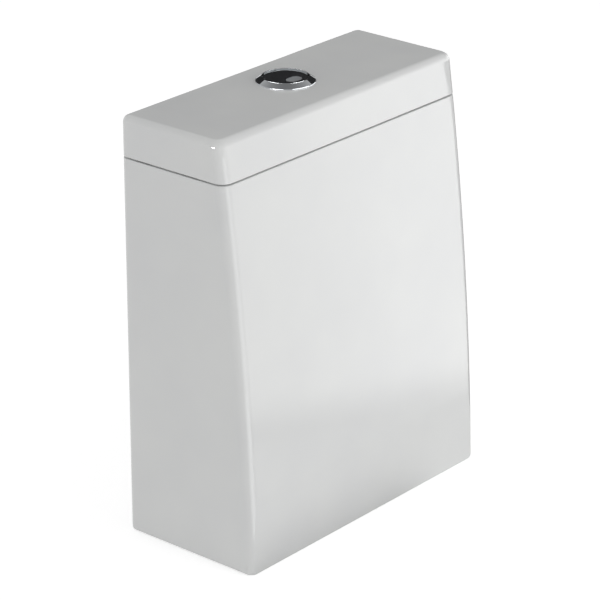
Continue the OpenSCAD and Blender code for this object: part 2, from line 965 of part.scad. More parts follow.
module coupling_gasket() {
  pocket_z = floor_z - backnut_h - run_gap;
  color("darkslategray")
    at_valve()
      difference() {
        post(gasket_z, floor_z, gasket_r);
        post(gasket_z - over, floor_z + over, outlet_r + 2 * run_gap);
        post(pocket_z, floor_z + over, backnut_r + lug_out + run_gap);
      }
}

module valve_tower() {
  ring_z = chamber_top + guide_up;
  guide_r = tube_hole_r + guide_wall;
  arm_y = (guide_r + rail_y) / 2;
  arm_l = rail_y - guide_r + 2 * over;
  lug_l = -half_link_x - rail_y;
  color("white")
    at_valve()
      difference() {
        union() {
          ring(tower_z, tower_z + chamber_floor, chamber_r, tube_hole_r);
          ring(tower_z, chamber_top, chamber_r, chamber_r - chamber_wall);
          for (side = [-1, 1])
            block(0, side * (rail_y + rail_t / 2), rail_w, rail_t, chamber_top - guide_h, plate_z);
          ring(ring_z, ring_z + guide_h, guide_r, tube_hole_r);
          for (side = [-1, 1])
            block(0, side * arm_y, rail_w / 2, arm_l, ring_z, ring_z + guide_h);
          block(half_link_x + lug_l / 2, half_rocker_y, lug_l, hook_w + over, lug_z, chamber_top);
          translate([half_link_x, half_rocker_y, 0])
            post(lug_z, chamber_top, half_link_r + run_gap + guide_wall);
        }
        for (turn = [45, 135])
          rotate([0, 0, turn])
            block(0, 0, 3 * chamber_r, slot_w, tower_z + slot_edge, chamber_top - slot_edge);
        translate([half_link_x, half_rocker_y, 0])
          post(lug_z - over, chamber_top + over, half_link_r + run_gap);
        post(chamber_top - guide_h - over, chamber_top + over, rail_y - over);
      }
}

// Two cheeks that hold a rocker's pin
module cheeks(x, y) {
  cheek_y = cheek_gap + cheek_t / 2;
  for (side = [-1, 1])
    difference() {
      block(x, y + side * cheek_y, cheek_w, cheek_t, plate_top - over, pivot_z + cheek_up);
      translate([x, y + side * cheek_y, pivot_z])
        rotate([90, 0, 0])
          cylinder(h = cheek_t + 2 * over, r = pivot_r + pin_gap, center = true);
    }
}

module valve_head() {
  color("white")
    at_valve() {
      difference() {
        union() {
          block(0, 0, 2 * head_half_l, 2 * plate_half_w, plate_z, plate_top);
          block(0, 0, rail_w, 2 * chamber_r, plate_z, plate_top);
          post(plate_z, plate_top, collar_r + guide_wall);
        }
        post(plate_z - over, plate_top + over, tube_hole_r);
        translate([half_link_x, half_rocker_y, 0])
          post(plate_z - over, plate_top + over, half_link_r + run_gap);
      }
      cheeks(full_pivot_x, full_stem_y);
      cheeks(half_pivot_x, half_rocker_y);
    }
}

module overflow_tube() {
  arm_l = full_hook_x - tube_r;
  hook_mid = full_hook_x - hook_t - hook_reach / 2;
  color("deepskyblue")
    at_valve() {
      ring(tube_z, tube_top, tube_r, tube_bore_r);
      ring(collar_z, tube_top, collar_r, tube_r - over);
      translate([0, full_stem_y, 0]) {
        block(tube_r + arm_l / 2, 0, arm_l, hook_w, collar_z, tube_top);
        block(full_hook_x - hook_t / 2, 0, hook_t, hook_w, collar_z, hook_z + hook_t);
        block(hook_mid, 0, hook_reach + 2 * over, hook_w, hook_z, hook_z + hook_t);
      }
    }
}

module seal_carrier() {
  color("deepskyblue")
    at_valve() {
      ring(seal_top, tube_z, seal_r - seat_w, tube_bore_r);
      ring(tube_z - over, tube_z + socket_h, tube_r + thread_gap + socket_wall, tube_r + thread_gap);
      ring(seat_z, seal_top + over, tube_r + thread_gap, tube_bore_r);
    }
}

module flush_seal() {
  color("red")
    at_valve()
      ring(seat_z, seal_top, seal_r, tube_r + 2 * thread_gap);
}

module full_flush_float() {
  float_top = float_z + full_float_h;
  inner = tube_r + thread_gap;
  color("lightblue")
    at_valve()
      difference() {
        post(float_z, float_top, full_float_r);
        post(float_z - over, float_top + over, inner);
        ring(float_z - over, float_top - float_wall, full_float_r - float_wall, inner + float_wall);
      }
}

module half_flush_float() {
  color("lightblue")
    at_valve()
      translate([half_link_x, half_rocker_y, 0])
        difference() {
          block(0, 0, half_float_l, half_float_w, half_float_z, half_float_z + half_float_h);
          difference() {
            block(
              0, 0, half_float_l - 2 * float_wall, half_float_w - 2 * float_wall,
              half_float_z - over, half_float_z + half_float_h - float_wall
            );
            post(half_float_z - 2 * over, half_float_z + half_float_h, half_link_r + pin_gap + float_wall);
          }
          post(half_float_z - over, half_float_z + half_float_h + over, half_link_r + pin_gap);
        }
}

module half_flush_link() {
  rest_h = 4;
  rest_low = chamber_top + run_gap;
  low_z = lug_z - rest_h;
  bar_l = half_nose_x - half_link_x + nose_r + half_link_r;
  color("deepskyblue")
    at_valve()
      translate([half_link_x, half_rocker_y, 0]) {
        post(low_z, hook_z + hook_t, half_link_r);
        ring(rest_low, rest_low + rest_h, half_link_r + rest_h / 2, half_link_r - over);
        ring(half_float_z - rest_h, half_float_z, half_link_r + rest_h / 2, half_link_r - over);
        block(bar_l / 2 - half_link_r, 0, bar_l, hook_w, hook_z, hook_z + hook_t);
      }
}

// Rocker with a flat pad, a hub on its pin and a round nose: way is 1 with the nose on the right
module rocker(way, pad_arm, nose_arm) {
  pad_end = pad_arm + pad_over;
  front_view(rocker_w)
    difference() {
      union() {
        translate([way > 0 ? -pad_end : -nose_arm, -rocker_down])
          square([pad_end + nose_arm, rocker_up + rocker_down]);
        circle(rocker_hub_r);
        translate([way * nose_arm, nose_up])
          circle(nose_r);
      }
      circle(pivot_r + pin_gap);
      translate([-pad_end, rocker_up])
        square([2 * pad_end, rocker_hub_r]);
    }
}

module full_rocker() {
  color("orange")
    at_valve()
      translate([full_pivot_x, full_stem_y, pivot_z])
        rocker(1, full_pad_arm, full_nose_arm);
}

module half_rocker() {
  color("gold")
    at_valve()
      translate([half_pivot_x, half_rocker_y, pivot_z])
        rocker(-1, half_pad_arm, half_nose_arm);
}

module rocker_pins() {
  pin_l = 2 * (cheek_gap + cheek_t + pin_out);
  head_h = 1.2;
  head_out = 1.2;
  places = [[full_pivot_x, full_stem_y], [half_pivot_x, half_rocker_y]];
  color("silver")
    at_valve()
      for (place = places)
        translate([place[0], place[1], pivot_z])
          rotate([90, 0, 0]) {
            cylinder(h = pin_l, r = pivot_r, center = true);
            translate([0, 0, cheek_gap + cheek_t])
              cylinder(h = head_h, r = pivot_r + head_out);
          }
}

// Fill valve

module fill_shank() {
  color("white")
    at_fill()
      difference() {
        union() {
          post(tail_z, tail_top, tail_r);
          post(floor_top + tail_washer_t, tail_top, tail_flange_r);
          post(tail_top - over, lower_tube_top, lower_tube_r);
        }
        post(tail_z - over, lower_tube_top + over, tail_bore_r);
        ring(tail_nut_z - groove_w, tail_nut_z, tail_r + over, tail_r - groove_d);
      }
}

module shank_washer() {
  color("dimgray")
    at_fill()
      ring(floor_top, floor_top + tail_washer_t, tail_washer_r, tail_r + thread_gap);
}

module shank_nut() {
  color("white")
    at_fill()
      translate([0, 0, tail_nut_z])
        difference() {
          cylinder(h = tail_nut_h, d = tail_nut_af / cos(30), $fn = 6);
          translate([0, 0, -over])
            cylinder(h = tail_nut_h + 2 * over, r = tail_r + thread_gap);
        }
}

module inlet_filter() {
  mesh_r = tail_bore_r - thread_gap;
  rib = 2;
  slots = 4;
  color("deepskyblue")
    at_fill()
      difference() {
        post(tail_z + rib, tail_z + rib + filter_l, mesh_r);
        post(tail_z + rib - over, tail_z + filter_l, mesh_r - filter_wall);
        for (i = [0 : slots - 1])
          rotate([0, 0, i * 180 / slots])
            block(0, 0, 4 * mesh_r, rib, tail_z + 2 * rib, tail_z + filter_l - rib);
      }
}

module fill_riser() {
  rest_t = 4;
  color("white")
    at_fill()
      difference() {
        union() {
          post(riser_z, head_z, riser_r);
          post(rest_z - rest_t, rest_z, riser_r + rest_t);
        }
        post(riser_z - over, head_z + over, riser_bore_r);
      }
}

module riser_lock_ring() {
  grips = 12;
  grip_r = 2;
  color("deepskyblue")
    at_fill()
      difference() {
        post(riser_z - lock_h, riser_z, lock_r);
        post(riser_z - lock_h - over, riser_z + over, riser_bore_r);
        for (i = [0 : grips - 1])
          rotate([0, 0, i * 360 / grips])
            translate([lock_r + grip_r / 2, 0, 0])
              post(riser_z - lock_h - over, riser_z + over, grip_r);
      }
}

module fill_head() {
  color("white")
    at_fill()
      difference() {
        post(head_z, cap_z, head_r);
        post(head_z - over, cap_z + over, riser_bore_r);
        post(shelf_z, cap_z + over, head_r - head_wall);
        for (turn = [45, 135])
          rotate([0, 0, turn])
            block(0, 0, 4 * head_r, port_w, head_z + head_wall, head_z + head_wall + port_h);
      }
}

module diaphragm() {
  color("dimgray")
    at_fill()
      post(shelf_z, shelf_z + diaphragm_t, head_r - head_wall - thread_gap);
}

module head_cap() {
  lug_y = lever_lug_gap + lever_lug_t / 2;
  color("gray")
    at_fill() {
      difference() {
        union() {
          post(cap_z, cap_top, head_r);
          post(cap_z - diaphragm_t, cap_z + over, head_r - head_wall - thread_gap);
          for (side = [-1, 1])
            block(-lever_x, side * lug_y, lever_lug_w, lever_lug_t, cap_top - over, lever_z + lever_lug_up);
        }
        translate([-lever_x, 0, lever_z])
          rotate([90, 0, 0])
            cylinder(h = 4 * lug_y, r = lever_pin_r + pin_gap, center = true);
      }
      translate([-lever_x - pilot_arm, 0, 0])
        post(cap_top - over, pilot_top, pilot_r);
    }
}

module float_cup() {
  inner = riser_r + run_gap;
  color("lightblue")
    at_fill()
      difference() {
        post(cup_z, cup_top, cup_r);
        post(cup_z - over, cup_top + over, inner);
        ring(cup_z - over, cup_top - float_wall, cup_r - float_wall, inner + float_wall);
      }
}

module float_link() {
  low_z = lever_z + low_stop;
  high_z = lever_z + high_stop;
  color("deepskyblue")
    at_fill()
      translate([link_x, 0, 0]) {
        post(cup_top, high_z + 2 * stop_t, link_r);
        post(cup_top, cup_top + stop_t, link_stop_r);
        post(low_z - stop_t, low_z, link_stop_r);
        post(high_z, high_z + stop_t, link_stop_r);
      }
}

module float_lever() {
  root = stop_inner - prong_w;
  reach = stop_outer + prong_w / 2;
  color("white")
    at_fill()
      translate([-lever_x, 0, lever_z])
        difference() {
          union() {
            block((reach - lever_tail) / 2, 0, reach + lever_tail, lever_w, -lever_t / 2, lever_t / 2);
            block((root + reach) / 2, 0, reach - root, fork_w, -lever_t / 2, lever_t / 2);
          }
          block(stop_inner + reach / 2, 0, reach, 2 * fork_r, -lever_t, lever_t);
          rotate([90, 0, 0])
            cylinder(h = 2 * lever_w, r = lever_pin_r + pin_gap, center = true);
        }
}

module lever_pin() {
  pin_l = 2 * (lever_lug_gap + lever_lug_t + pin_out);
  color("silver")
    at_fill()
      translate([-lever_x, 0, lever_z])
        rotate([90, 0, 0])
          cylinder(h = pin_l, r = lever_pin_r, center = true);
}

// Fixings

module coupling_bolts() {
  head_z0 = floor_top + rubber_t;
  drive_w = 2;
  color("silver")
    at_bolts()
      difference() {
        union() {
          post(bolt_z, head_z0 + over, bolt_r);
          post(head_z0, head_z0 + bolt_head_h, bolt_head_r);
        }
        block(0, 0, 4 * bolt_head_r, drive_w, head_z0 + bolt_head_h / 2, head_z0 + 2 * bolt_head_h);
        ring(bolt_nut_z - groove_w, bolt_nut_z, bolt_r + over, bolt_r - groove_d);
      }
}

module bolt_rubber_washers() {
  color("dimgray")
    at_bolts()
      ring(floor_top, floor_top + rubber_t, rubber_r, bolt_r + thread_gap);
}

module bolt_steel_washers() {
  color("silver")
    at_bolts()
      ring(floor_z - steel_t, floor_z, steel_r, bolt_r + thread_gap);
}

module bolt_nuts() {
  color("silver")
    at_bolts()
      translate([0, 0, bolt_nut_z])
        difference() {
          cylinder(h = bolt_nut_h, d = bolt_nut_af / cos(30), $fn = 6);
          translate([0, 0, -over])
            cylinder(h = bolt_nut_h + 2 * over, r = bolt_r + thread_gap);
        }
}

tank();
lid();
lid_pads();
button_bezel();
button_washer();
button_nut();
button_guide();
full_flush_button();
half_flush_button();
full_spring();
half_spring();
full_push_rod();
half_push_rod();
valve_base();
base_washer();
outlet_backnut();
coupling_gasket();
valve_tower();
valve_head();
overflow_tube();
seal_carrier();
flush_seal();
full_flush_float();
half_flush_float();
half_flush_link();
full_rocker();
half_rocker();
rocker_pins();
fill_shank();
shank_washer();
shank_nut();
inlet_filter();
fill_riser();
riser_lock_ring();
fill_head();
diaphragm();
head_cap();
float_cup();
float_link();
float_lever();
lever_pin();
coupling_bolts();
bolt_rubber_washers();
bolt_steel_washers();
bolt_nuts();
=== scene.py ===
# %% [markdown]
# # A close-coupled toilet cistern
# The real object is a slip-cast tank with a loose lid, both in glazed white ware, with
# a chrome double push button in the lid and two plastic valves in the water space.
# The frame brings in every piece as a plain solid at its real size and place.
# This lesson models the pieces that show again with their real edges, rounds the
# mouldings inside, and gives every piece its finish.

# %% The frame and its box
import json
import math

import bmesh
import bpy
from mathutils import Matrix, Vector

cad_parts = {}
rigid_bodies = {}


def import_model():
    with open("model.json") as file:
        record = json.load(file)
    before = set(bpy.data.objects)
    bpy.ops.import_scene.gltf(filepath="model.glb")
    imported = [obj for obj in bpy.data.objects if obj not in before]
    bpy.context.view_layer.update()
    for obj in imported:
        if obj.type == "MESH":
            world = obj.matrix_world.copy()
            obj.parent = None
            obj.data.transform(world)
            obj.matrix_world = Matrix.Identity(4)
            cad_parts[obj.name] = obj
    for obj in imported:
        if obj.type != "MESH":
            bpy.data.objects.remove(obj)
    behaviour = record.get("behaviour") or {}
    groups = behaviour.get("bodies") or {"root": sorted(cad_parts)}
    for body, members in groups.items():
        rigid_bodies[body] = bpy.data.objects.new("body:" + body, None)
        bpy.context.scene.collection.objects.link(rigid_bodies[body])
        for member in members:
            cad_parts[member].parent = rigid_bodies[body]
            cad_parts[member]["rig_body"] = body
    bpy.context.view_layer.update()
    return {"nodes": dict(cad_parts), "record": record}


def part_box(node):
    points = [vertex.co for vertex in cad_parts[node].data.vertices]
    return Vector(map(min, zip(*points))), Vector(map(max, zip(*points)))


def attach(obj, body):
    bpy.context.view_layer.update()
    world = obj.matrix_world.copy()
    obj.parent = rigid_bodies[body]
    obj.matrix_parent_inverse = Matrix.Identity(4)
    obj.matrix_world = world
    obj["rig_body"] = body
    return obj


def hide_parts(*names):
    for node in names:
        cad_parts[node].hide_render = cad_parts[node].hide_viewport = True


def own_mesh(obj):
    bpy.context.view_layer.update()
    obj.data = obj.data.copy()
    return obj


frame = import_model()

MM = 0.001
body_of = {name: piece["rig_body"] for name, piece in frame["nodes"].items()}
slot_of = {part["node"]: part["material_slot"] for part in frame["record"]["subparts"]}

# %% [markdown]
# ## The camera
# The photograph looks down a little on the front left corner, from far away: its
# upright edges hardly run together. A long lens a good three metres off gives that.
# The camera could be turned by angles, but aiming it at a point is easier to correct,
# so the point is named and the turn follows from it.

# %% Camera
camera_data = bpy.data.cameras.new("photo_camera")
camera_data.lens = 181.705
camera_data.sensor_width = 36
camera = bpy.data.objects.new("photo_camera", camera_data)
bpy.context.scene.collection.objects.link(camera)
camera.location = (-2.1871, -1.8449, 1.4242)
look_at = Vector((-0.00667, 0.00155, 0.22152))
camera.rotation_euler = (look_at - camera.location).to_track_quat("-Z", "Y").to_euler()
bpy.context.scene.camera = camera
print("camera is", round((look_at - camera.location).length, 3), "m from its point")

# %% [markdown]
# ## Colours and nodes
# Colours are written as they are seen on a screen, in sRGB hex, and Blender's shaders
# work in linear light, so one function changes them. A second one adds a node, sets
# what it is told, and links the sockets that it is given, so each material below
# reads as a short list. A ramp between two colours comes up in nearly every material,
# so it is written once too.

# %% Helpers for materials
def linear(code):
    """The linear RGBA of an sRGB hex colour."""
    parts = [int(code[i : i + 2], 16) / 255 for i in (1, 3, 5)]
    return (*[p / 12.92 if p <= 0.04045 else ((p + 0.055) / 1.055) ** 2.4 for p in parts], 1)


def add(tree, kind, inputs={}, **settings):
    """Adds a node with its settings; an input is a value, or the socket to link to it."""
    made = tree.nodes.new(kind)
    for name, value in settings.items():
        setattr(made, name, value)
    for name, value in inputs.items():
        if isinstance(value, bpy.types.NodeSocket):
            tree.links.new(value, made.inputs[name])
        else:
            made.inputs[name].default_value = value
    return made


def finish_of(name):
    """A new material, its node tree, its shader and its object coordinates."""
    finish = bpy.data.materials.new(name)
    finish.use_nodes = True
    tree = finish.node_tree
    shader = tree.nodes["Principled BSDF"]
    place = add(tree, "ShaderNodeTexCoord").outputs["Object"]
    return finish, tree, shader, place


def per_mm(size):
    """The texture scale at which one step of a noise is that many millimetres."""
    return 1 / (size * MM)


def drift(tree, shader, pattern, dark, light, low_polish, high_polish):
    """Lets a pattern drift the colour between two shades and the roughness with it."""
    tone = add(tree, "ShaderNodeValToRGB", {"Fac": pattern})
    for stop, position, shade in zip(tone.color_ramp.elements, (0.3, 0.7), (dark, light)):
        stop.position, stop.color = position, linear(shade)
    polish = add(tree, "ShaderNodeMapRange", {"Value": pattern, "To Min": low_polish, "To Max": high_polish})
    tree.links.new(tone.outputs["Color"], shader.inputs["Base Color"])
    tree.links.new(polish.outputs["Result"], shader.inputs["Roughness"])


def relief(tree, shader, pattern, strength, depth):
    """Raises a pattern as a bump of some millimetres, on top of the bump already there."""
    bump = add(tree, "ShaderNodeBump", {"Height": pattern, "Strength": strength, "Distance": depth * MM})
    for link in shader.inputs["Normal"].links:
        tree.links.new(link.from_socket, bump.inputs["Normal"])
    tree.links.new(bump.outputs["Normal"], shader.inputs["Normal"])


print("white is", linear("#FFFFFF"), "and mid grey", [round(v, 3) for v in linear("#808080")])

# %% [markdown]
# ## Glazed white ware
# Vitreous china is a white clay body under a clear, thick glaze that is fired on. The
# eye gets a hard gloss that isn't quite flat: the glaze pulls into long, shallow waves
# some 50 mm apart, and has a finer skin of a few millimetres. A mirror-flat white would
# look like plastic, so both waves go into the bump, and the white itself drifts a
# little in tone where the glaze lies thicker. The foot stands bare in the kiln, so its
# underside is dry, a little warmer, and gritty.

# %% Vitreous china and its bare clay
china, tree, shader, place = finish_of("glazed_vitreous_china")
cloud = add(tree, "ShaderNodeTexNoise", {"Vector": place, "Scale": per_mm(90), "Detail": 2}).outputs["Fac"]
wave = add(tree, "ShaderNodeTexNoise", {"Vector": place, "Scale": per_mm(55), "Detail": 1}).outputs["Fac"]
skin = add(tree, "ShaderNodeTexNoise", {"Vector": place, "Scale": per_mm(4), "Detail": 1}).outputs["Fac"]
drift(tree, shader, cloud, "#EAEBEB", "#EEEFEE", 0.05, 0.09)
relief(tree, shader, wave, 0.35, 1)
relief(tree, shader, skin, 0.05, 0.1)
shader.inputs["IOR"].default_value = 1.52

biscuit, tree, shader, place = finish_of("bare_fired_clay")
grit = add(tree, "ShaderNodeTexNoise", {"Vector": place, "Scale": per_mm(1.2), "Detail": 4}).outputs["Fac"]
drift(tree, shader, grit, "#CFC9BF", "#E2DED6", 0.8, 0.9)
relief(tree, shader, grit, 0.4, 0.2)
print("made", china.name, "and", biscuit.name)

# %% [markdown]
# ## Chrome plate
# The bezel and the buttons are chrome-plated ABS. Chrome is a slightly blue, dark
# mirror: most of what the eye sees is the room. The plating follows the moulded plastic
# below it, so it has a faint wave of some 12 mm. The oval button is plated over a
# satin-blasted mould, so it blurs what it mirrors and looks an even grey.

# %% Bright and satin chrome
def chrome_finish(name, roughness, wave_bump):
    """Plated chrome with a given polish."""
    finish, tree, shader, place = finish_of(name)
    wave = add(tree, "ShaderNodeTexNoise", {"Vector": place, "Scale": per_mm(12), "Detail": 1}).outputs["Fac"]
    drift(tree, shader, wave, "#C4C7CA", "#C8CBCD", roughness * 0.8, roughness * 1.2)
    relief(tree, shader, wave, wave_bump, 0.2)
    shader.inputs["Metallic"].default_value = 1
    return finish


bright_chrome = chrome_finish("bright_chrome_plate", 0.05, 0.15)
satin_chrome = chrome_finish("satin_chrome_plate", 0.64, 0.1)
print("made", bright_chrome.name, "and", satin_chrome.name)

# %% [markdown]
# ## Moulded plastics
# The valves are injection-moulded: acetal and ABS where they bear, polypropylene where
# they only hold. All have the soft, satin skin that a mould leaves, with a fine grain of
# under a millimetre, and a little light goes into them before it comes back. Only the
# colour and the polish differ, so one function makes them all.

# %% Five plastics
def plastic_finish(name, dark, light, roughness, depth_of_light):
    """Moulded plastic with a fine grain and some light below its skin."""
    finish, tree, shader, place = finish_of(name)
    flow = add(tree, "ShaderNodeTexNoise", {"Vector": place, "Scale": per_mm(18), "Detail": 2}).outputs["Fac"]
    grain = add(tree, "ShaderNodeTexNoise", {"Vector": place, "Scale": per_mm(0.7)}).outputs["Fac"]
    drift(tree, shader, flow, dark, light, roughness - 0.05, roughness + 0.05)
    relief(tree, shader, grain, 0.15, 0.05)
    shader.inputs["Subsurface Weight"].default_value = depth_of_light
    shader.inputs["Subsurface Scale"].default_value = 1 * MM
    return finish


finish_for = {
    "white_plastic": plastic_finish("white_acetal", "#E2E3E0", "#EAEBE8", 0.38, 0.2),
    "blue_plastic": plastic_finish("blue_polypropylene", "#3A86C0", "#4691CA", 0.42, 0.1),
    "float_plastic": plastic_finish("blown_polythene", "#C6D3DB", "#D0DCE2", 0.45, 0.4),
    "grey_plastic": plastic_finish("grey_abs", "#8F9194", "#97999B", 0.4, 0.05),
    "orange_plastic": plastic_finish("orange_acetal", "#E2934A", "#E89B50", 0.4, 0.1),
}
print("plastics:", [finish.name for finish in finish_for.values()])

# %% [markdown]
# ## Rubber, foam and silicone
# The seals are soft. Black EPDM rubber is matt with a grey bloom that comes and goes
# over a centimetre. The big gasket is closed-cell foam: its cut skin shows cells under a
# millimetre wide, so a cell pattern dents it. The flush seal is red silicone, smooth
# and slightly see-through.

# %% Soft finishes
rubber, tree, shader, place = finish_of("black_epdm_rubber")
bloom = add(tree, "ShaderNodeTexNoise", {"Vector": place, "Scale": per_mm(10), "Detail": 3}).outputs["Fac"]
grain = add(tree, "ShaderNodeTexNoise", {"Vector": place, "Scale": per_mm(0.4), "Detail": 2}).outputs["Fac"]
drift(tree, shader, bloom, "#26272A", "#34363A", 0.6, 0.75)
relief(tree, shader, grain, 0.3, 0.05)

foam, tree, shader, place = finish_of("closed_cell_foam")
cells = add(tree, "ShaderNodeTexVoronoi", {"Vector": place, "Scale": per_mm(0.9)}).outputs["Distance"]
drift(tree, shader, cells, "#2B2D30", "#44474B", 0.9, 0.97)
relief(tree, shader, cells, 0.6, 0.3)

silicone, tree, shader, place = finish_of("red_silicone_rubber")
flow = add(tree, "ShaderNodeTexNoise", {"Vector": place, "Scale": per_mm(8), "Detail": 2}).outputs["Fac"]
drift(tree, shader, flow, "#B83B33", "#C6453B", 0.32, 0.42)
relief(tree, shader, flow, 0.1, 0.1)
shader.inputs["Subsurface Weight"].default_value = 0.3
shader.inputs["Subsurface Scale"].default_value = 1.5 * MM

finish_for.update({"black_rubber": rubber, "gasket_foam": foam, "red_silicone": silicone})
print("soft finishes:", rubber.name, foam.name, silicone.name)

# %% [markdown]
# ## Steel
# Bolts, nuts and washers are zinc-plated: a pale, slightly blue metal whose plating has
# a cloudy grain of 2 mm or so and blurs what it mirrors. Springs and pins are drawn wire,
# brighter, with fine lines along the drawing. Lines that run round a coil would need a
# direction, so a very fine noise stands for them: at that size the eye only gets a soft
# sheen.

# %% Zinc plate and drawn wire
def steel_finish(name, dark, light, roughness, grain_size):
    """Metal with a cloudy grain of some millimetres."""
    finish, tree, shader, place = finish_of(name)
    cloud = {"Vector": place, "Scale": per_mm(grain_size), "Detail": 3}
    grain = add(tree, "ShaderNodeTexNoise", cloud).outputs["Fac"]
    drift(tree, shader, grain, dark, light, roughness - 0.06, roughness + 0.06)
    relief(tree, shader, grain, 0.1, 0.05)
    shader.inputs["Metallic"].default_value = 1
    return finish


finish_for["steel"] = steel_finish("bright_zinc_plate", "#B4B6B9", "#C6C8CA", 0.32, 2)
spring_wire = steel_finish("drawn_spring_wire", "#BDBEC0", "#CBCCCD", 0.24, 0.15)
print("made", finish_for["steel"].name, "and", spring_wire.name)

# %% [markdown]
# ## Shaping by hand, in code
# In Blender's window a modeller clicks on the edges to bevel or the faces to move. In
# code the same edges are found by where they are or which way they face. These helpers
# make one object active, select what passes a test, cut one form out of another, round
# the edges and smooth the shading.

# %% Helpers for shaping
def alone(piece):
    """Makes a piece the one that is selected and active."""
    bpy.ops.object.select_all(action="DESELECT")
    piece.select_set(True)
    bpy.context.view_layer.objects.active = piece


def pick(kind, test):
    """In edit mode, selects the vertices, edges or faces that pass a test, and counts them."""
    mesh = bmesh.from_edit_mesh(bpy.context.object.data)
    mesh.normal_update()
    bpy.ops.mesh.select_mode(type=kind)
    bpy.ops.mesh.select_all(action="DESELECT")
    found = [p for p in {"VERT": mesh.verts, "EDGE": mesh.edges, "FACE": mesh.faces}[kind] if test(p)]
    for part in found:
        part.select_set(True)
    mesh.select_flush_mode()
    bmesh.update_edit_mesh(bpy.context.object.data)
    return len(found)


def at_height(edge, z, reach=1e-5):
    """True if both ends of an edge lie at a height."""
    return all(abs(v.co.z - z) < reach for v in edge.verts)


def is_corner(edge, angle=0.9):
    """True if the two faces of an edge meet at more than an angle."""
    return edge.is_manifold and edge.calc_face_angle(0) > angle


def combine(piece, other, operation):
    """Cuts another form out of a piece, adds it or keeps what they share, and removes the other."""
    alone(piece)
    change = piece.modifiers.new("combine", "BOOLEAN")
    change.operation = operation
    change.object = other
    change.solver = "EXACT"
    bpy.ops.object.modifier_apply(modifier=change.name)
    bpy.data.objects.remove(other)
    return piece


def soften(piece, width, segments=3, angle=30):
    """Rounds the edges that are sharper than an angle."""
    alone(piece)
    edge = piece.modifiers.new("edge", "BEVEL")
    edge.limit_method = "ANGLE"
    edge.angle_limit = math.radians(angle)
    edge.width = width * MM
    edge.segments = segments
    bpy.ops.object.modifier_apply(modifier=edge.name)
    return piece


def smooth(piece, angle=35):
    """Smooth shading up to an angle, led by the large faces."""
    alone(piece)
    bpy.ops.object.shade_smooth_by_angle(angle=math.radians(angle), keep_sharp_edges=True)
    lead = piece.modifiers.new("lead", "WEIGHTED_NORMAL")
    lead.keep_sharp = True
    bpy.ops.object.modifier_apply(modifier=lead.name)
    return piece


def join(pieces):
    """Joins pieces into the first one."""
    alone(pieces[0])
    for piece in pieces:
        piece.select_set(True)
    bpy.ops.object.join()
    return pieces[0]


def set_piece(piece, name, node, finish=None):
    """Names a finished piece, gives it its finish, ties it to its body and hides the CAD node that it stands
    for.
    """
    piece.name = name
    piece.data.name = name
    if not piece.data.materials:
        piece.data.materials.append(finish or finish_for[slot_of[node]])
    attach(piece, body_of[node])
    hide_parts(node)
    print(name, "has", len(piece.data.polygons), "faces")
    return piece


print("helpers ready")

# %% [markdown]
# ## The form of the body
# Tank and lid were drawn as one block: a plan with softly rounded corners, a back that
# stands straight and a front that leans back in a long arc as it rises. Near the foot
# the front is cut off square, which leaves a crisp crease down each front corner that
# fades out as the arc takes over. The same form, set in by the wall, is the water
# space. So one function makes it at any set-in: a cube, sliced into rows, its front
# pulled row by row to the arc, its corners bevelled, and its foot cut square.

# %% The body's form
BODY_W, BODY_D = 0.364, 0.166
ARC_Y, ARC_R, ARC_Z = 3.761761, 3.850, -0.120
FRONT_R, BACK_R, INNER_R = 0.012, 0.0085, 0.004
ROW = 0.014


def front_y(z, inset):
    """Where the front's arc stands at a height, set in by the wall."""
    return ARC_Y - math.sqrt((ARC_R - inset) ** 2 - (z - ARC_Z) ** 2)


def cube(size, middle):
    """A box of some size about a middle point, left in edit mode."""
    bpy.ops.object.select_all(action="DESELECT")
    bpy.ops.mesh.primitive_cube_add(size=1, location=(0, 0, 0))
    box = bpy.context.object
    bpy.ops.object.mode_set(mode="EDIT")
    bpy.ops.transform.resize(value=size)
    bpy.ops.transform.translate(value=middle)
    return box


def body_form(inset, low, high):
    """The body's form between two heights, set in on all four sides."""
    form = cube((BODY_W - 2 * inset, BODY_D - 2 * inset, high - low), (0, 0, (low + high) / 2))
    rows = max(2, round((high - low) / ROW))
    heights = [low + (high - low) * i / rows for i in range(rows + 1)]
    for z in heights[1:-1]:
        bpy.ops.mesh.select_all(action="SELECT")
        bpy.ops.mesh.bisect(plane_co=(0, 0, z), plane_no=(0, 0, 1))
    for z in heights:
        pick("VERT", lambda v: v.co.y < 0 and abs(v.co.z - z) < 1e-5)
        bpy.ops.transform.translate(value=(0, front_y(z, inset) + BODY_D / 2 - inset, 0))
    for side, radius in ((1, BACK_R), (-1, FRONT_R)):
        pick(
            "EDGE",
            lambda e: abs(e.verts[0].co.z - e.verts[1].co.z) > ROW / 8
            and is_corner(e)
            and e.verts[0].co.y * side > 0,
        )
        bpy.ops.mesh.bevel(
            offset=max(radius - inset, INNER_R), offset_type="OFFSET", segments=8, affect="EDGES"
        )
    bpy.ops.mesh.select_all(action="SELECT")
    bpy.ops.mesh.bisect(
        plane_co=(0, inset - BODY_D / 2, 0),
        plane_no=(0, -1, 0),
        use_fill=True,
        clear_outer=True,
    )
    bpy.ops.mesh.select_all(action="SELECT")
    bpy.ops.mesh.normals_make_consistent(inside=False)
    bpy.ops.object.mode_set(mode="OBJECT")
    return form


def rod(x, y, radius, low, high, sides=64):
    """An upright cylinder, to cut a round hole with."""
    bpy.ops.object.select_all(action="DESELECT")
    bpy.ops.mesh.primitive_cylinder_add(
        vertices=sides, radius=radius, depth=high - low, location=(x, y, (low + high) / 2)
    )
    bpy.ops.object.transform_apply(location=True, rotation=True, scale=True)
    return bpy.context.object


print("front leans from", round(front_y(0.080, 0), 4), "to", round(front_y(0.451, 0), 4))

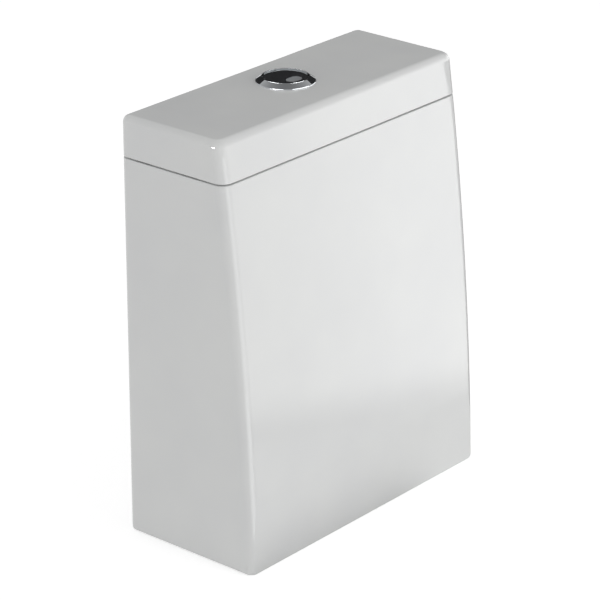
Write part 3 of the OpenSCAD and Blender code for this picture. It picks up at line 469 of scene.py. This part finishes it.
# %% [markdown]
# ## The tank
# The tank is the outer form, hollowed twice: the water space from above and the shallow
# recess of the foot from below, with the floor between them. The foot's edges are
# rounded by different amounts, most at the back and hardly at all in front. A bevel all
# round would have to turn the corner with a changing width, so the form is kept only
# where it lies inside three blocks with rounded lower edges: one for the front and back,
# one for the sides and one, turned by half a right angle, for the corners. The floor has
# four holes: outlet, inlet and two bolts.

# %% Tank
RIM_Z, FLOOR_LOW, FLOOR_TOP, WALL = 0.407, 0.038, 0.050, 0.010
FOOT_BACK, FOOT_SIDE, FOOT_FRONT = 0.007, 0.006, 0.003
tank = body_form(0, 0, RIM_Z)
TALL, WIDE = 0.5, 0.5
along_x = cube((WIDE, BODY_D, TALL), (0, 0, TALL / 2))
for side, radius in ((1, FOOT_BACK), (-1, FOOT_FRONT)):
    pick(
        "EDGE",
        lambda e: at_height(e, 0) and all(v.co.y * side > BODY_D / 4 for v in e.verts) and is_corner(e),
    )
    bpy.ops.mesh.bevel(offset=radius, segments=6, affect="EDGES")
bpy.ops.object.mode_set(mode="OBJECT")
combine(tank, along_x, "INTERSECT")
along_y = cube((BODY_W, WIDE, TALL), (0, 0, TALL / 2))
pick("EDGE", lambda e: at_height(e, 0) and abs(e.verts[0].co.x - e.verts[1].co.x) < 1e-6)
bpy.ops.mesh.bevel(offset=FOOT_SIDE, segments=6, affect="EDGES")
bpy.ops.object.mode_set(mode="OBJECT")
combine(tank, along_y, "INTERSECT")
# The third block just clears the upright corners, so it cuts nothing but the foot
FOOT_CORNER, ASLANT, ASLANT_Y = 0.007, 0.36886, -0.000735
aslant = cube((ASLANT, ASLANT, TALL), (0, 0, TALL / 2))
pick("EDGE", lambda e: at_height(e, 0))
bpy.ops.mesh.bevel(offset=FOOT_CORNER, segments=6, affect="EDGES")
bpy.ops.mesh.select_all(action="SELECT")
bpy.ops.transform.rotate(value=math.pi / 4, orient_axis="Z", center_override=(0, 0, 0))
bpy.ops.transform.translate(value=(0, ASLANT_Y, 0))
bpy.ops.object.mode_set(mode="OBJECT")
combine(tank, aslant, "INTERSECT")

water_space = body_form(WALL, FLOOR_TOP, RIM_Z + 0.004)
alone(water_space)
bpy.ops.object.mode_set(mode="EDIT")
pick("EDGE", lambda e: at_height(e, FLOOR_TOP))
bpy.ops.mesh.bevel(offset=0.0035, segments=4, affect="EDGES")
bpy.ops.object.mode_set(mode="OBJECT")
combine(tank, water_space, "DIFFERENCE")
combine(tank, body_form(WALL, -0.004, FLOOR_LOW), "DIFFERENCE")
VALVE_Y, FILL_X, FILL_Y, BOLT_X = 0.026, -0.125, 0.005, 0.075
for x, y, radius in (
    (0, VALVE_Y, 0.0313),
    (FILL_X, FILL_Y, 0.01195),
    (BOLT_X, VALVE_Y, 0.0055),
    (-BOLT_X, VALVE_Y, 0.0055),
):
    combine(tank, rod(x, y, radius, FLOOR_LOW - 0.002, FLOOR_TOP + 0.002), "DIFFERENCE")
alone(tank)
bpy.ops.object.mode_set(mode="EDIT")
RIM_EDGE = 0.0008
print("rim edges:", pick("EDGE", lambda e: at_height(e, RIM_Z) and is_corner(e)))
bpy.ops.mesh.bevel(offset=RIM_EDGE, segments=3, affect="EDGES")
print(
    "crease edges:",
    pick(
        "EDGE",
        lambda e: all(abs(v.co.y + BODY_D / 2) < 2e-5 for v in e.verts)
        and abs(e.verts[0].co.z - e.verts[1].co.z) > 1e-4
        and is_corner(e, 0.03),
    ),
)
bpy.ops.mesh.mark_sharp()
bpy.ops.object.mode_set(mode="OBJECT")
tank.data.materials.append(china)
tank.data.materials.append(biscuit)
bpy.ops.object.mode_set(mode="EDIT")
pick("FACE", lambda f: f.calc_center_median().z < FLOOR_LOW + 1e-4 and f.normal.z < -0.98)
tank.active_material_index = 1
bpy.ops.object.material_slot_assign()
bpy.ops.object.mode_set(mode="OBJECT")
smooth(tank)
set_piece(tank, "tank_shell", "tank")

# %% [markdown]
# ## The lid
# The lid carries on the tank's form above a thin seam. Its top edge is well rounded and
# its lower edge is nearly sharp. Below it hangs a lip that drops inside the tank's rim
# and keeps it from sliding. It is hollowed as the real casting is, with a shoulder
# inside, and has a hole for the button.

# %% Lid
LID_LOW, LID_TOP, LID_UNDER, SHOULDER_TOP, LIP_LOW = 0.4085, 0.451, 0.441, 0.4195, 0.4005
LID_EDGE, LIP_OUT, LIP_IN = 0.0075, 0.012, 0.018
lid = body_form(0, LID_LOW, LID_TOP)
alone(lid)
bpy.ops.object.mode_set(mode="EDIT")
print("lid top edges:", pick("EDGE", lambda e: at_height(e, LID_TOP) and is_corner(e)))
bpy.ops.mesh.bevel(offset=LID_EDGE, segments=8, affect="EDGES")
pick("EDGE", lambda e: at_height(e, LID_LOW) and is_corner(e))
bpy.ops.mesh.bevel(offset=RIM_EDGE, segments=3, affect="EDGES")
bpy.ops.object.mode_set(mode="OBJECT")
combine(lid, body_form(LIP_OUT, LIP_LOW, LID_LOW + 0.001), "UNION")
combine(lid, body_form(LIP_IN, LIP_LOW - 0.001, SHOULDER_TOP + 0.0005), "DIFFERENCE")
combine(lid, body_form(WALL, SHOULDER_TOP, LID_UNDER), "DIFFERENCE")
combine(lid, rod(0, VALVE_Y, 0.02635, LID_UNDER - 0.001, LID_TOP + 0.001, 96), "DIFFERENCE")
smooth(lid)
set_piece(lid, "lid_shell", "lid", china)

# %% [markdown]
# ## Turned and wound pieces
# Washers, rings and the bezel are round, so each is a profile spun about its axis. The
# profile starts as one vertex that is extruded from point to point, as with a pen, and
# the spin closes it into a ring. Springs and threads climb as they turn, so a screw
# modifier winds their profile up the axis instead, and their two ends are closed.

# %% Helpers for turned and wound pieces
def drawn(points, closed=True):
    """A line of edges through points of radius and height in millimetres, left in edit mode."""
    bpy.ops.object.select_all(action="DESELECT")
    bpy.ops.mesh.primitive_plane_add(size=MM, location=(0, 0, 0))
    bpy.ops.object.mode_set(mode="EDIT")
    bpy.ops.mesh.select_mode(type="VERT")
    bpy.ops.mesh.select_all(action="SELECT")
    bpy.ops.mesh.merge(type="CENTER")
    places = [Vector((r * MM, 0, z * MM)) for r, z in points]
    bpy.ops.transform.translate(value=places[0])
    for start, end in zip(places, places[1:] + places[:1] if closed else places[1:]):
        bpy.ops.mesh.extrude_vertices_move(TRANSFORM_OT_translate={"value": end - start})
    bpy.ops.mesh.select_all(action="SELECT")
    bpy.ops.mesh.remove_doubles(threshold=1e-6)
    bpy.ops.mesh.select_all(action="SELECT")
    return bpy.context.object


def placed(piece, x, y):
    """Merges what meets, moves the mesh to its axis and turns its faces outward."""
    alone(piece)
    bpy.ops.object.mode_set(mode="EDIT")
    bpy.ops.mesh.select_all(action="SELECT")
    bpy.ops.mesh.remove_doubles(threshold=1e-6)
    bpy.ops.mesh.fill_holes(sides=0)
    bpy.ops.mesh.select_all(action="SELECT")
    bpy.ops.mesh.normals_make_consistent(inside=False)
    bpy.ops.transform.translate(value=(x, y, 0))
    bpy.ops.object.mode_set(mode="OBJECT")
    return piece


def turned(x, y, profile, steps=96):
    """Spins a profile about an upright axis; one that starts and ends on the axis stays open."""
    piece = drawn(profile, closed=profile[0][0] > 0)
    bpy.ops.mesh.spin(steps=steps, angle=2 * math.pi, center=(0, 0, 0), axis=(0, 0, 1))
    bpy.ops.object.mode_set(mode="OBJECT")
    return placed(piece, x, y)


def wound(piece, pitch, turns, steps):
    """Winds a profile up its axis."""
    alone(piece)
    wind = piece.modifiers.new("wind", "SCREW")
    wind.screw_offset = pitch * MM
    wind.iterations = turns
    wind.steps = wind.render_steps = steps
    bpy.ops.object.modifier_apply(modifier=wind.name)
    return piece


print("ready to turn and wind")

# %% [markdown]
# ## The bezel
# The bezel is a chrome cone that lies on the lid, with a sleeve through it that a ring
# nut pulls down. A cylinder could be tapered and bevelled, but the rim and the outer
# edge each have a small round of their own, and these rounds give the thin white lines
# round the button. So the profile is drawn with both rounds in it, and then turned.

# %% Bezel
def arc(r, z, radius, start, end):
    """Points of a profile along a small round, between two angles in degrees."""
    angles = [math.radians(start + (end - start) * i / 6) for i in range(7)]
    return [(r + radius * math.cos(a), z + radius * math.sin(a)) for a in angles]


CONE = 55.7    # how far the cone's face looks up, in degrees
bezel = turned(
    0,
    VALVE_Y,
    [(23.3, 417), (23.3, 456.2)]
    + arc(23.8, 454.58, 1.62, 90, CONE)
    + arc(29.614, 451.2, 1.136, CONE, 0)
    + [(30.75, 451.0), (25.75, 451.0), (25.75, 415), (21.8, 415), (21.8, 417)],
    steps=128,
)
soften(bezel, 0.12)
smooth(bezel)
set_piece(bezel, "chrome_bezel", "button_bezel", bright_chrome)

# %% [markdown]
# ## The two buttons
# Two buttons sit in the bezel's mouth: a disc for the full flush, and an oval in the
# disc for the half flush. The disc is turned, and the oval's hole is cut through it.
# Oval and hole come from the same stretched cylinder, one a hair larger than the other.
# Each button has its stem, bored for the push rod's spigot.

# %% Disc and oval
OVAL_Y = 0.015
FULL_STEM, HALF_STEM = (0.014, 0.028), (-0.005, OVAL_Y)
STEM_LOW, SPIGOT_R, SPIGOT_TOP = 0.4167, 0.00185, 0.4307


def oval(length, width, low, high):
    """An upright prism with straight sides and round ends, lying along X in the disc."""
    prism = rod(0, OVAL_Y, width / 2 * MM, low * MM, high * MM, 64)
    alone(prism)
    bpy.ops.object.mode_set(mode="EDIT")
    for side in (1, -1):
        pick("VERT", lambda v: v.co.x * side > 1e-5)
        bpy.ops.transform.translate(value=(side * (length - width) / 2 * MM, 0, 0))
    bpy.ops.object.mode_set(mode="OBJECT")
    return prism


disc = turned(
    0,
    VALVE_Y,
    [(0, 452.6), (21.0, 452.6), (21.0, 443.1), (23.0, 443.1), (23.0, 455.1), (0, 455.1)],
    steps=128,
)
combine(disc, oval(19.1, 12.6, 450, 457), "DIFFERENCE")
combine(disc, rod(*FULL_STEM, 0.004, STEM_LOW, 0.4536, 40), "UNION")
combine(disc, rod(*FULL_STEM, SPIGOT_R, STEM_LOW - 0.001, SPIGOT_TOP, 32), "DIFFERENCE")
soften(disc, 0.25)
smooth(disc)
set_piece(disc, "full_flush_disc", "full_flush_button", bright_chrome)

small = oval(18.5, 12.0, 446.1, 455.1)
combine(small, rod(*HALF_STEM, 0.0035, STEM_LOW, 0.4471, 40), "UNION")
combine(small, rod(*HALF_STEM, SPIGOT_R, STEM_LOW - 0.001, SPIGOT_TOP, 32), "DIFFERENCE")
soften(small, 0.4, segments=4)
smooth(small)
set_piece(small, "half_flush_oval", "half_flush_button", satin_chrome)

# %% [markdown]
# ## Return springs
# Each button stands on a wire spring round its stem. A real spring has its first and
# last curl closed up, so that it stands flat: three runs are wound from the same small
# circle, close, open and close, and merged where they meet. The spring stays on the
# guide below.

# %% Springs
WIRE_R = 0.5


def coil(stem, radius, low, high, curls):
    """A wire spring between two heights of its wire's middle."""
    close = 2.1 * WIRE_R
    runs = []
    for start, pitch, count in (
        (low, close, 1),
        (low + close, (high - low - 2 * close) / curls, curls),
        (high - close, close, 1),
    ):
        bpy.ops.object.select_all(action="DESELECT")
        bpy.ops.mesh.primitive_circle_add(
            vertices=10,
            radius=WIRE_R * MM,
            location=(radius * MM, 0, start * MM),
            rotation=(math.pi / 2, 0, 0),
        )
        bpy.ops.object.transform_apply(location=True, rotation=True, scale=True)
        runs.append(wound(bpy.context.object, pitch, count, 28))
    return smooth(placed(join(runs), *stem), 60)


for node, stem, radius, curls, joint, travel in (
    ("full_spring", FULL_STEM, 5.3, 6, "full_flush_press", 0.007),
    ("half_spring", HALF_STEM, 4.8, 4, "half_flush_press", 0.006),
):
    low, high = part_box(node)
    spring = coil(stem, radius, low.z / MM + WIRE_R, high.z / MM - WIRE_R, curls)
    set_piece(spring, node + "_wire", node, spring_wire)
    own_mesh(spring)

# %% [markdown]
# ## Washers and seals
# A rubber washer that is clamped bulges a little at its rim. So each profile has a point
# halfway up that stands out, and its corners lie back. The sizes come from the frame,
# so only the bores are given. The diaphragm has no bore: its profile starts and ends
# on the axis.

# %% Soft rings
def washer(x, y, bore, outer, low, high, edge=0.3):
    """A clamped soft ring with a bulged rim, in millimetres."""
    back = min(0.4, (high - low) / 4)
    middle = (low + high) / 2
    profile = [(bore, low), (outer - back, low), (outer, middle), (outer - back, high), (bore, high)]
    return soften(turned(x, y, profile), edge, angle=40)


for node, x, y, bore in (
    ("button_washer", 0, VALVE_Y, 25.85),
    ("base_washer", 0, VALVE_Y, 29.9),
    ("shank_washer", FILL_X, FILL_Y, 10.55),
    ("flush_seal", 0, VALVE_Y, 16.2),
):
    low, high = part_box(node)
    ring = washer(x, y, bore, (high.x - low.x) / 2 / MM, low.z / MM, high.z / MM)
    set_piece(smooth(ring), node + "_ring", node)

low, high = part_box("bolt_rubber_washers")
pair = [washer(side * BOLT_X, VALVE_Y, 4.1, 14, low.z / MM, high.z / MM) for side in (1, -1)]
set_piece(smooth(join(pair)), "bolt_rubber_rings", "bolt_rubber_washers")

low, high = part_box("diaphragm")
reach = (high.x - low.x) / 2 / MM
rim = [(0, low.z / MM), (reach - 0.4, low.z / MM), (reach, (low.z + high.z) / 2 / MM)]
disc_of_rubber = turned(FILL_X, FILL_Y, rim + [(reach - 0.4, high.z / MM), (0, high.z / MM)])
set_piece(smooth(soften(disc_of_rubber, 0.3, angle=40)), "diaphragm_disc", "diaphragm")

# %% [markdown]
# ## Gasket and pads
# The foam gasket is squeezed between tank and pan. It is a tall ring with a pocket for
# the nut, so its profile has a step, and its edges are well rounded, because foam can't
# hold a sharp one. The lid stands on four small rubber pads in the seam. They are blocks
# with soft edges, and one loop sets them at the corners of the box that the frame gives.

# %% Gasket and pads
gasket = turned(
    0,
    VALVE_Y,
    [(30.4, 8), (44.2, 8), (45, 12), (45, 34), (44.2, 38), (38.3, 38), (38.3, 25.7), (30.4, 25.7)],
)
set_piece(smooth(soften(gasket, 1.2, angle=40)), "coupling_gasket_ring", "coupling_gasket")

low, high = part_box("lid_pads")
PAD_W, PAD_L = 0.005, 0.020
pads = []
for x in (low.x + PAD_W / 2, high.x - PAD_W / 2):
    for y in (low.y + PAD_L / 2, high.y - PAD_L / 2):
        pads.append(cube((PAD_W, PAD_L, high.z - low.z), (x, y, (low.z + high.z) / 2)))
        bpy.ops.object.mode_set(mode="OBJECT")
        soften(pads[-1], 0.4)
set_piece(smooth(join(pads)), "lid_pad_set", "lid_pads")

# %% [markdown]
# ## The fill valve's tail
# A thread is a ridge wound round a core. A bump would give its look from afar, but not
# its outline, so the ridge is a triangle drawn with the pen, wound by the screw modifier
# and joined to the core. The tail has a pipe thread of 14 turns to the inch.

# %% Fill valve shank
def ridge(x, y, core, crest, pitch, low, turns):
    """The ridge of a thread, in millimetres."""
    half = pitch * 0.46
    profile = drawn([(core - 0.2, low), (crest, low + half), (core - 0.2, low + 2 * half)])
    bpy.ops.object.mode_set(mode="OBJECT")
    return placed(wound(profile, pitch, turns, 48), x, y)


shank = turned(
    FILL_X,
    FILL_Y,
    [
        (6.5, 4), (9.6, 4), (9.6, 27), (9.95, 27.2), (9.95, 28), (10.45, 28), (10.45, 52), (18, 52),
        (18, 56), (11, 56), (11, 250), (6.5, 250),
    ],
)
soften(shank, 0.3)
shank = join([shank, ridge(FILL_X, FILL_Y, 9.6, 10.45, 1.814, 4.4, 11)])
set_piece(smooth(shank), "fill_shank_thread", "fill_shank")

# %% [markdown]
# ## Coupling bolts
# Two M8 bolts hold the tank on the pan. Their slotted pan heads stand in the water
# space, and their threads hang out below. One bolt is turned, slotted and threaded, and
# then copied to the other side, so both are the same to the last edge.

# %% Coupling bolts
bolt = turned(
    BOLT_X,
    VALVE_Y,
    [
        (0, 3), (3.0, 3), (3.4, 3.6), (3.4, 28.9), (3.5, 28.9), (3.5, 29.9), (4, 29.9), (4, 53),
        (9, 53), (9, 55.6), (8.2, 57), (6.2, 57.8), (3.5, 58), (0, 58),
    ],
    steps=48,
)
slot = cube((0.040, 0.002, 0.004), (BOLT_X, VALVE_Y, 0.0575))
bpy.ops.object.mode_set(mode="OBJECT")
combine(bolt, slot, "DIFFERENCE")
soften(bolt, 0.2, segments=2)
bolt = join([bolt, ridge(BOLT_X, VALVE_Y, 3.4, 4, 1.25, 3.6, 19)])
alone(bolt)
bpy.ops.object.duplicate()
twin = bpy.context.object
bpy.ops.object.mode_set(mode="EDIT")
bpy.ops.mesh.select_all(action="SELECT")
bpy.ops.transform.translate(value=(-2 * BOLT_X, 0, 0))
bpy.ops.object.mode_set(mode="OBJECT")
set_piece(smooth(join([bolt, twin])), "coupling_bolt_pair", "coupling_bolts")

# %% [markdown]
# ## The mouldings inside
# The valves are made of many rigid mouldings, whose forms the frame already has. What
# they lack is the small round that every mould leaves on an edge, which is what
# catches the light. So each is copied, its triangles are merged back into whole faces,
# and its edges are rounded by a third of a millimetre or less.

# %% Rounded mouldings
def moulded(node, edge):
    """A copy of a node's form with whole faces and rounded edges."""
    piece = bpy.data.objects.new(node + "_rounded", frame["nodes"][node].data.copy())
    bpy.context.scene.collection.objects.link(piece)
    piece.data.materials.clear()
    alone(piece)
    bpy.ops.object.mode_set(mode="EDIT")
    bpy.ops.mesh.select_all(action="SELECT")
    bpy.ops.mesh.remove_doubles(threshold=2e-6)
    bpy.ops.mesh.dissolve_limited(angle_limit=math.radians(0.5))
    bpy.ops.mesh.select_all(action="SELECT")
    bpy.ops.mesh.normals_make_consistent(inside=False)
    bpy.ops.object.mode_set(mode="OBJECT")
    soften(piece, edge, segments=2)
    return smooth(piece)


fine = {"inlet_filter", "rocker_pins", "lever_pin", "bolt_steel_washers", "riser_lock_ring", "float_lever"}
for node in sorted(frame["nodes"]):
    if not frame["nodes"][node].hide_render:
        finish = spring_wire if node in ("rocker_pins", "lever_pin") else None
        set_piece(moulded(node, 0.15 if node in fine else 0.3), node + "_rounded", node, finish)

# %% [markdown]
# ## The sky of the studio
# The photograph is lit softly: bright from the front and dimmer from above, so the lid's
# top is the darkest of the three faces. A world that is white at the horizon and greyer
# overhead gives that order. The camera sees plain white in its place.

# %% World
world = bpy.data.worlds.new("studio")
world.use_nodes = True
bpy.context.scene.world = world
tree = world.node_tree
tree.nodes.clear()
way = add(tree, "ShaderNodeTexCoord").outputs["Generated"]
height = add(tree, "ShaderNodeSeparateXYZ", {"Vector": way}).outputs["Z"]
path = add(tree, "ShaderNodeLightPath").outputs


def dome(horizon, zenith):
    """A sky whose grey runs from the horizon to the zenith."""
    inputs = {"Value": height, "To Min": horizon, "To Max": zenith}
    grey = add(tree, "ShaderNodeMapRange", inputs).outputs["Result"]
    return add(tree, "ShaderNodeBackground", {"Color": (1, 1, 1, 1), "Strength": grey}).outputs[0]


lit = add(tree, "ShaderNodeMixShader", {0: path["Is Glossy Ray"], 1: dome(1.02, 0.35), 2: dome(1.0, 0.25)})
white = add(tree, "ShaderNodeBackground", {"Color": (1, 1, 1, 1), "Strength": 1.0})
seen = {0: path["Is Camera Ray"], 1: path["Is Transmission Ray"]}
clear = add(tree, "ShaderNodeMath", seen, operation="MAXIMUM")
both = add(tree, "ShaderNodeMixShader", {0: clear.outputs[0], 1: lit.outputs[0], 2: white.outputs[0]})
add(tree, "ShaderNodeOutputWorld", {"Surface": both.outputs[0]})
print("world set")

# %% [markdown]
# ## The floor
# The cistern stands on white paper that has no end. Paper in a dim room would look grey
# next to the white background, so it glows a little, but only for the camera and for
# what mirrors it. The light that it throws on the cistern is that of plain paper, and
# the shadow at the foot stays.

# %% Floor
bpy.ops.object.select_all(action="DESELECT")
bpy.ops.mesh.primitive_plane_add(size=24, location=(0, 0, 0))
floor = bpy.context.object
floor.name = "studio_floor"
paper, tree, shader, place = finish_of("white_studio_paper")
tooth = add(tree, "ShaderNodeTexNoise", {"Vector": place, "Scale": per_mm(3), "Detail": 2}).outputs["Fac"]
drift(tree, shader, tooth, "#E4E4E4", "#E8E8E8", 0.85, 0.95)
relief(tree, shader, tooth, 0.05, 0.1)
shader.inputs["Specular IOR Level"].default_value = 0
path = add(tree, "ShaderNodeLightPath").outputs
glow = add(tree, "ShaderNodeEmission", {"Color": (1, 1, 1, 1), "Strength": 0.57})
lit = add(tree, "ShaderNodeAddShader", {0: shader.outputs[0], 1: glow.outputs[0]})
shown = path["Is Camera Ray"]
for ray in ("Is Glossy Ray", "Is Transmission Ray"):
    shown = add(tree, "ShaderNodeMath", {0: shown, 1: path[ray]}, operation="MAXIMUM").outputs[0]
mix = add(tree, "ShaderNodeMixShader", {0: shown, 1: shader.outputs[0], 2: lit.outputs[0]})
tree.links.new(mix.outputs[0], tree.nodes["Material Output"].inputs["Surface"])
floor.data.materials.append(paper)
print("floor", floor.dimensions[:])

# %% [markdown]
# ## Lamps
# One large soft panel in front gives the front its even light. A small lamp on the left
# makes the glint on the lid's near corner, and four narrow strips overhead make the thin
# white lines on the rim and the edge of the bezel. These five would spoil the even tones
# of the china, so each shines only on the pieces that it is there for. The camera doesn't
# see any of the lamps.

# %% Lamps
def soft_lamp(name, place, aim, wide, tall, glow):
    """A rectangular soft lamp that faces a point and shines with a brightness like the floor's."""
    data = bpy.data.lights.new(name, "AREA")
    data.shape = "RECTANGLE"
    data.size, data.size_y, data.energy = wide, tall, glow * wide * tall * math.pi
    lamp = bpy.data.objects.new(name, data)
    bpy.context.scene.collection.objects.link(lamp)
    lamp.location = place
    lamp.rotation_euler = (Vector(aim) - Vector(place)).to_track_quat("-Z", "Y").to_euler()
    lamp.visible_camera = False
    return lamp


def shines_on(lamp, pieces):
    """Screens a lamp off from all but some pieces, and from every matt surface round them."""
    lamp.visible_diffuse = False
    lamp.light_linking.receiver_collection = bpy.data.collections.new(lamp.name + "_on")
    for piece in pieces:
        lamp.light_linking.receiver_collection.objects.link(piece)
    lamp.data.use_nodes = True
    tree = lamp.data.node_tree
    bounces = add(tree, "ShaderNodeLightPath").outputs["Diffuse Depth"]
    direct = add(tree, "ShaderNodeMath", {0: bounces, 1: 0.5}, operation="LESS_THAN").outputs[0]
    tree.links.new(direct, tree.nodes["Emission"].inputs["Strength"])


front_panel = soft_lamp("front_panel", (0.35, -1.6, 0.85), (0, -0.05, 0.25), 1.3, 1.3, 0.92)
front_panel.visible_glossy = False
BUTTON = (0, VALVE_Y, 0.455)
shines_on(soft_lamp("corner_glint", (-1.376, 0.068, 0.48), (-0.18, -0.037, 0.445), 0.75, 0.25, 28), [lid])
for name, place, wide, tall in (
    ("rim_strip_right", (0.712, 0.278, 1.388), 0.24, 0.46),
    ("rim_strip_left", (0.345, 0.661, 1.413), 0.23, 0.38),
    ("edge_strip_left", (-0.872, -0.073, 1.273), 0.80, 0.33),
    ("edge_strip_right", (0.307, -0.796, 1.273), 1.5, 0.33),
):
    shines_on(soft_lamp(name, place, BUTTON, wide, tall, 7), [bezel, disc])
print("lamps set")

# %% [markdown]
# ## Flags and panels
# Glaze and chrome show what stands round them, so cards are set up for them to mirror.
# The upper part of the front mirrors a lit panel at the front right, and the lower part
# the floor, so the front has two tones with a soft border. A narrow panel by the near
# corner runs a line of light down that edge. The black flags are the dark things: one
# behind the cistern darkens the disc, and one on the right the rounding of the far corner.
# A thin dark card on the floor at the foot is a painted shadow: it stands in for the
# contact shadow there, and darkens the front's last centimetres as it is mirrored. A card
# is empty from behind, and the camera sees none of them.

# %% Cards
def card(name, place, aim, wide, tall, cloth):
    """A card of cloth that faces a point and that the camera doesn't see."""
    bpy.ops.object.select_all(action="DESELECT")
    bpy.ops.mesh.primitive_plane_add(size=1, location=place)
    sheet = bpy.context.object
    sheet.name = name
    sheet.rotation_euler = (Vector(aim) - Vector(place)).to_track_quat("Z", "Y").to_euler()
    sheet.scale = (wide, tall, 1)
    bpy.ops.object.transform_apply(location=True, rotation=True, scale=True)
    sheet.data.materials.append(cloth)
    sheet.visible_camera = sheet.visible_shadow = False
    return sheet


def one_sided(tree, surface, thin=0.0):
    """Lets light through a cloth from behind, and through its front where it is thin."""
    back = add(tree, "ShaderNodeNewGeometry").outputs["Backfacing"]
    open_share = add(tree, "ShaderNodeMath", {0: back, 1: thin}, operation="MAXIMUM").outputs[0]
    clear = add(tree, "ShaderNodeBsdfTransparent")
    mix = add(tree, "ShaderNodeMixShader", {0: open_share, 1: surface.outputs[0], 2: clear.outputs[0]})
    tree.links.new(mix.outputs[0], tree.nodes["Material Output"].inputs["Surface"])


def ramp(tree, value, low, high, at_low, at_high):
    """A soft change from one strength to another between two places."""
    inputs = {"Value": value, "From Min": low, "From Max": high, "To Min": at_low, "To Max": at_high}
    return add(tree, "ShaderNodeMapRange", inputs, interpolation_type="SMOOTHSTEP").outputs["Result"]


def flag_cloth(name):
    """Black cloth with a fine weave, with its node tree, shader and place."""
    cloth, tree, shader, place = finish_of(name)
    weave = add(tree, "ShaderNodeTexNoise", {"Vector": place, "Scale": per_mm(2), "Detail": 1}).outputs["Fac"]
    drift(tree, shader, weave, "#3C3C3D", "#424243", 0.9, 0.97)
    shader.inputs["Specular IOR Level"].default_value = 0
    return cloth, tree, shader, add(tree, "ShaderNodeSeparateXYZ", {"Vector": place}).outputs


black_cloth, tree, shader, place = flag_cloth("black_flag_cloth")
one_sided(tree, shader)
card("back_flag", (0.93, 0.83, 0.95), (0, 0.026, 0.455), 2.2, 0.95, black_cloth).visible_diffuse = False
card("right_flag", (0.25, 0.065, 0.22), (0, 0.065, 0.22), 0.37, 0.44, black_cloth).visible_diffuse = False

# The dark card at the foot is a painted contact shadow on the floor; it thins out to the front and to the
# right
foot_shadow_cloth, tree, shader, place = flag_cloth("painted_foot_shadow_cloth")
away = ramp(tree, place["Y"], -0.083, -0.170, 0.4, 1)
aside = ramp(tree, place["X"], -0.02, 0.14, 0, 1)
one_sided(tree, shader, add(tree, "ShaderNodeMath", {0: away, 1: aside}, operation="MAXIMUM").outputs[0])
card("painted_foot_shadow_card", (-0.01, -0.132, 0.0006), (-0.01, -0.132, 1), 0.34, 0.098, foot_shadow_cloth)

lit_cloth, tree, shader, place = finish_of("lit_panel_cloth")
place = add(tree, "ShaderNodeSeparateXYZ", {"Vector": place}).outputs
across = ramp(tree, place["X"], 0.10, 0.30, 1.9, 3.1)
rise = ramp(tree, place["Z"], 0, 0.07, 0.4, 1)
fall = ramp(tree, place["Z"], 0.47, 0.62, 1, 0.2)
shine = add(tree, "ShaderNodeMath", {0: across, 1: rise}, operation="MULTIPLY").outputs[0]
shine = add(tree, "ShaderNodeMath", {0: shine, 1: fall}, operation="MULTIPLY").outputs[0]
one_sided(tree, add(tree, "ShaderNodeEmission", {"Color": (1, 1, 1, 1), "Strength": shine}))
panel = card("mirrored_panel", (0.20, -0.272, 0.31), (0.20 - 0.64, -0.272 + 0.77, 0.31), 1.0, 0.62, lit_cloth)
panel.visible_diffuse = False

corner_cloth, tree, shader, place = finish_of("corner_panel_cloth")
place = add(tree, "ShaderNodeSeparateXYZ", {"Vector": place}).outputs
shine = ramp(tree, place["X"], -0.255, -0.20, 0.6, 3.0)
one_sided(tree, add(tree, "ShaderNodeEmission", {"Color": (1, 1, 1, 1), "Strength": shine}))
aim = (-0.2065 + 0.486, -0.17 + 0.874, 0.21)
panel = card("corner_panel", (-0.2065, -0.17, 0.21), aim, 0.111, 0.42, corner_cloth)
panel.visible_diffuse = False
print("cards set")

# %% [markdown]
# ## Colour
# Colours are shown as they are, without the look of a film. The dressed cistern must not
# be larger than its solids.

# %% Colour
scene = bpy.context.scene
scene.view_settings.view_transform = "Standard"
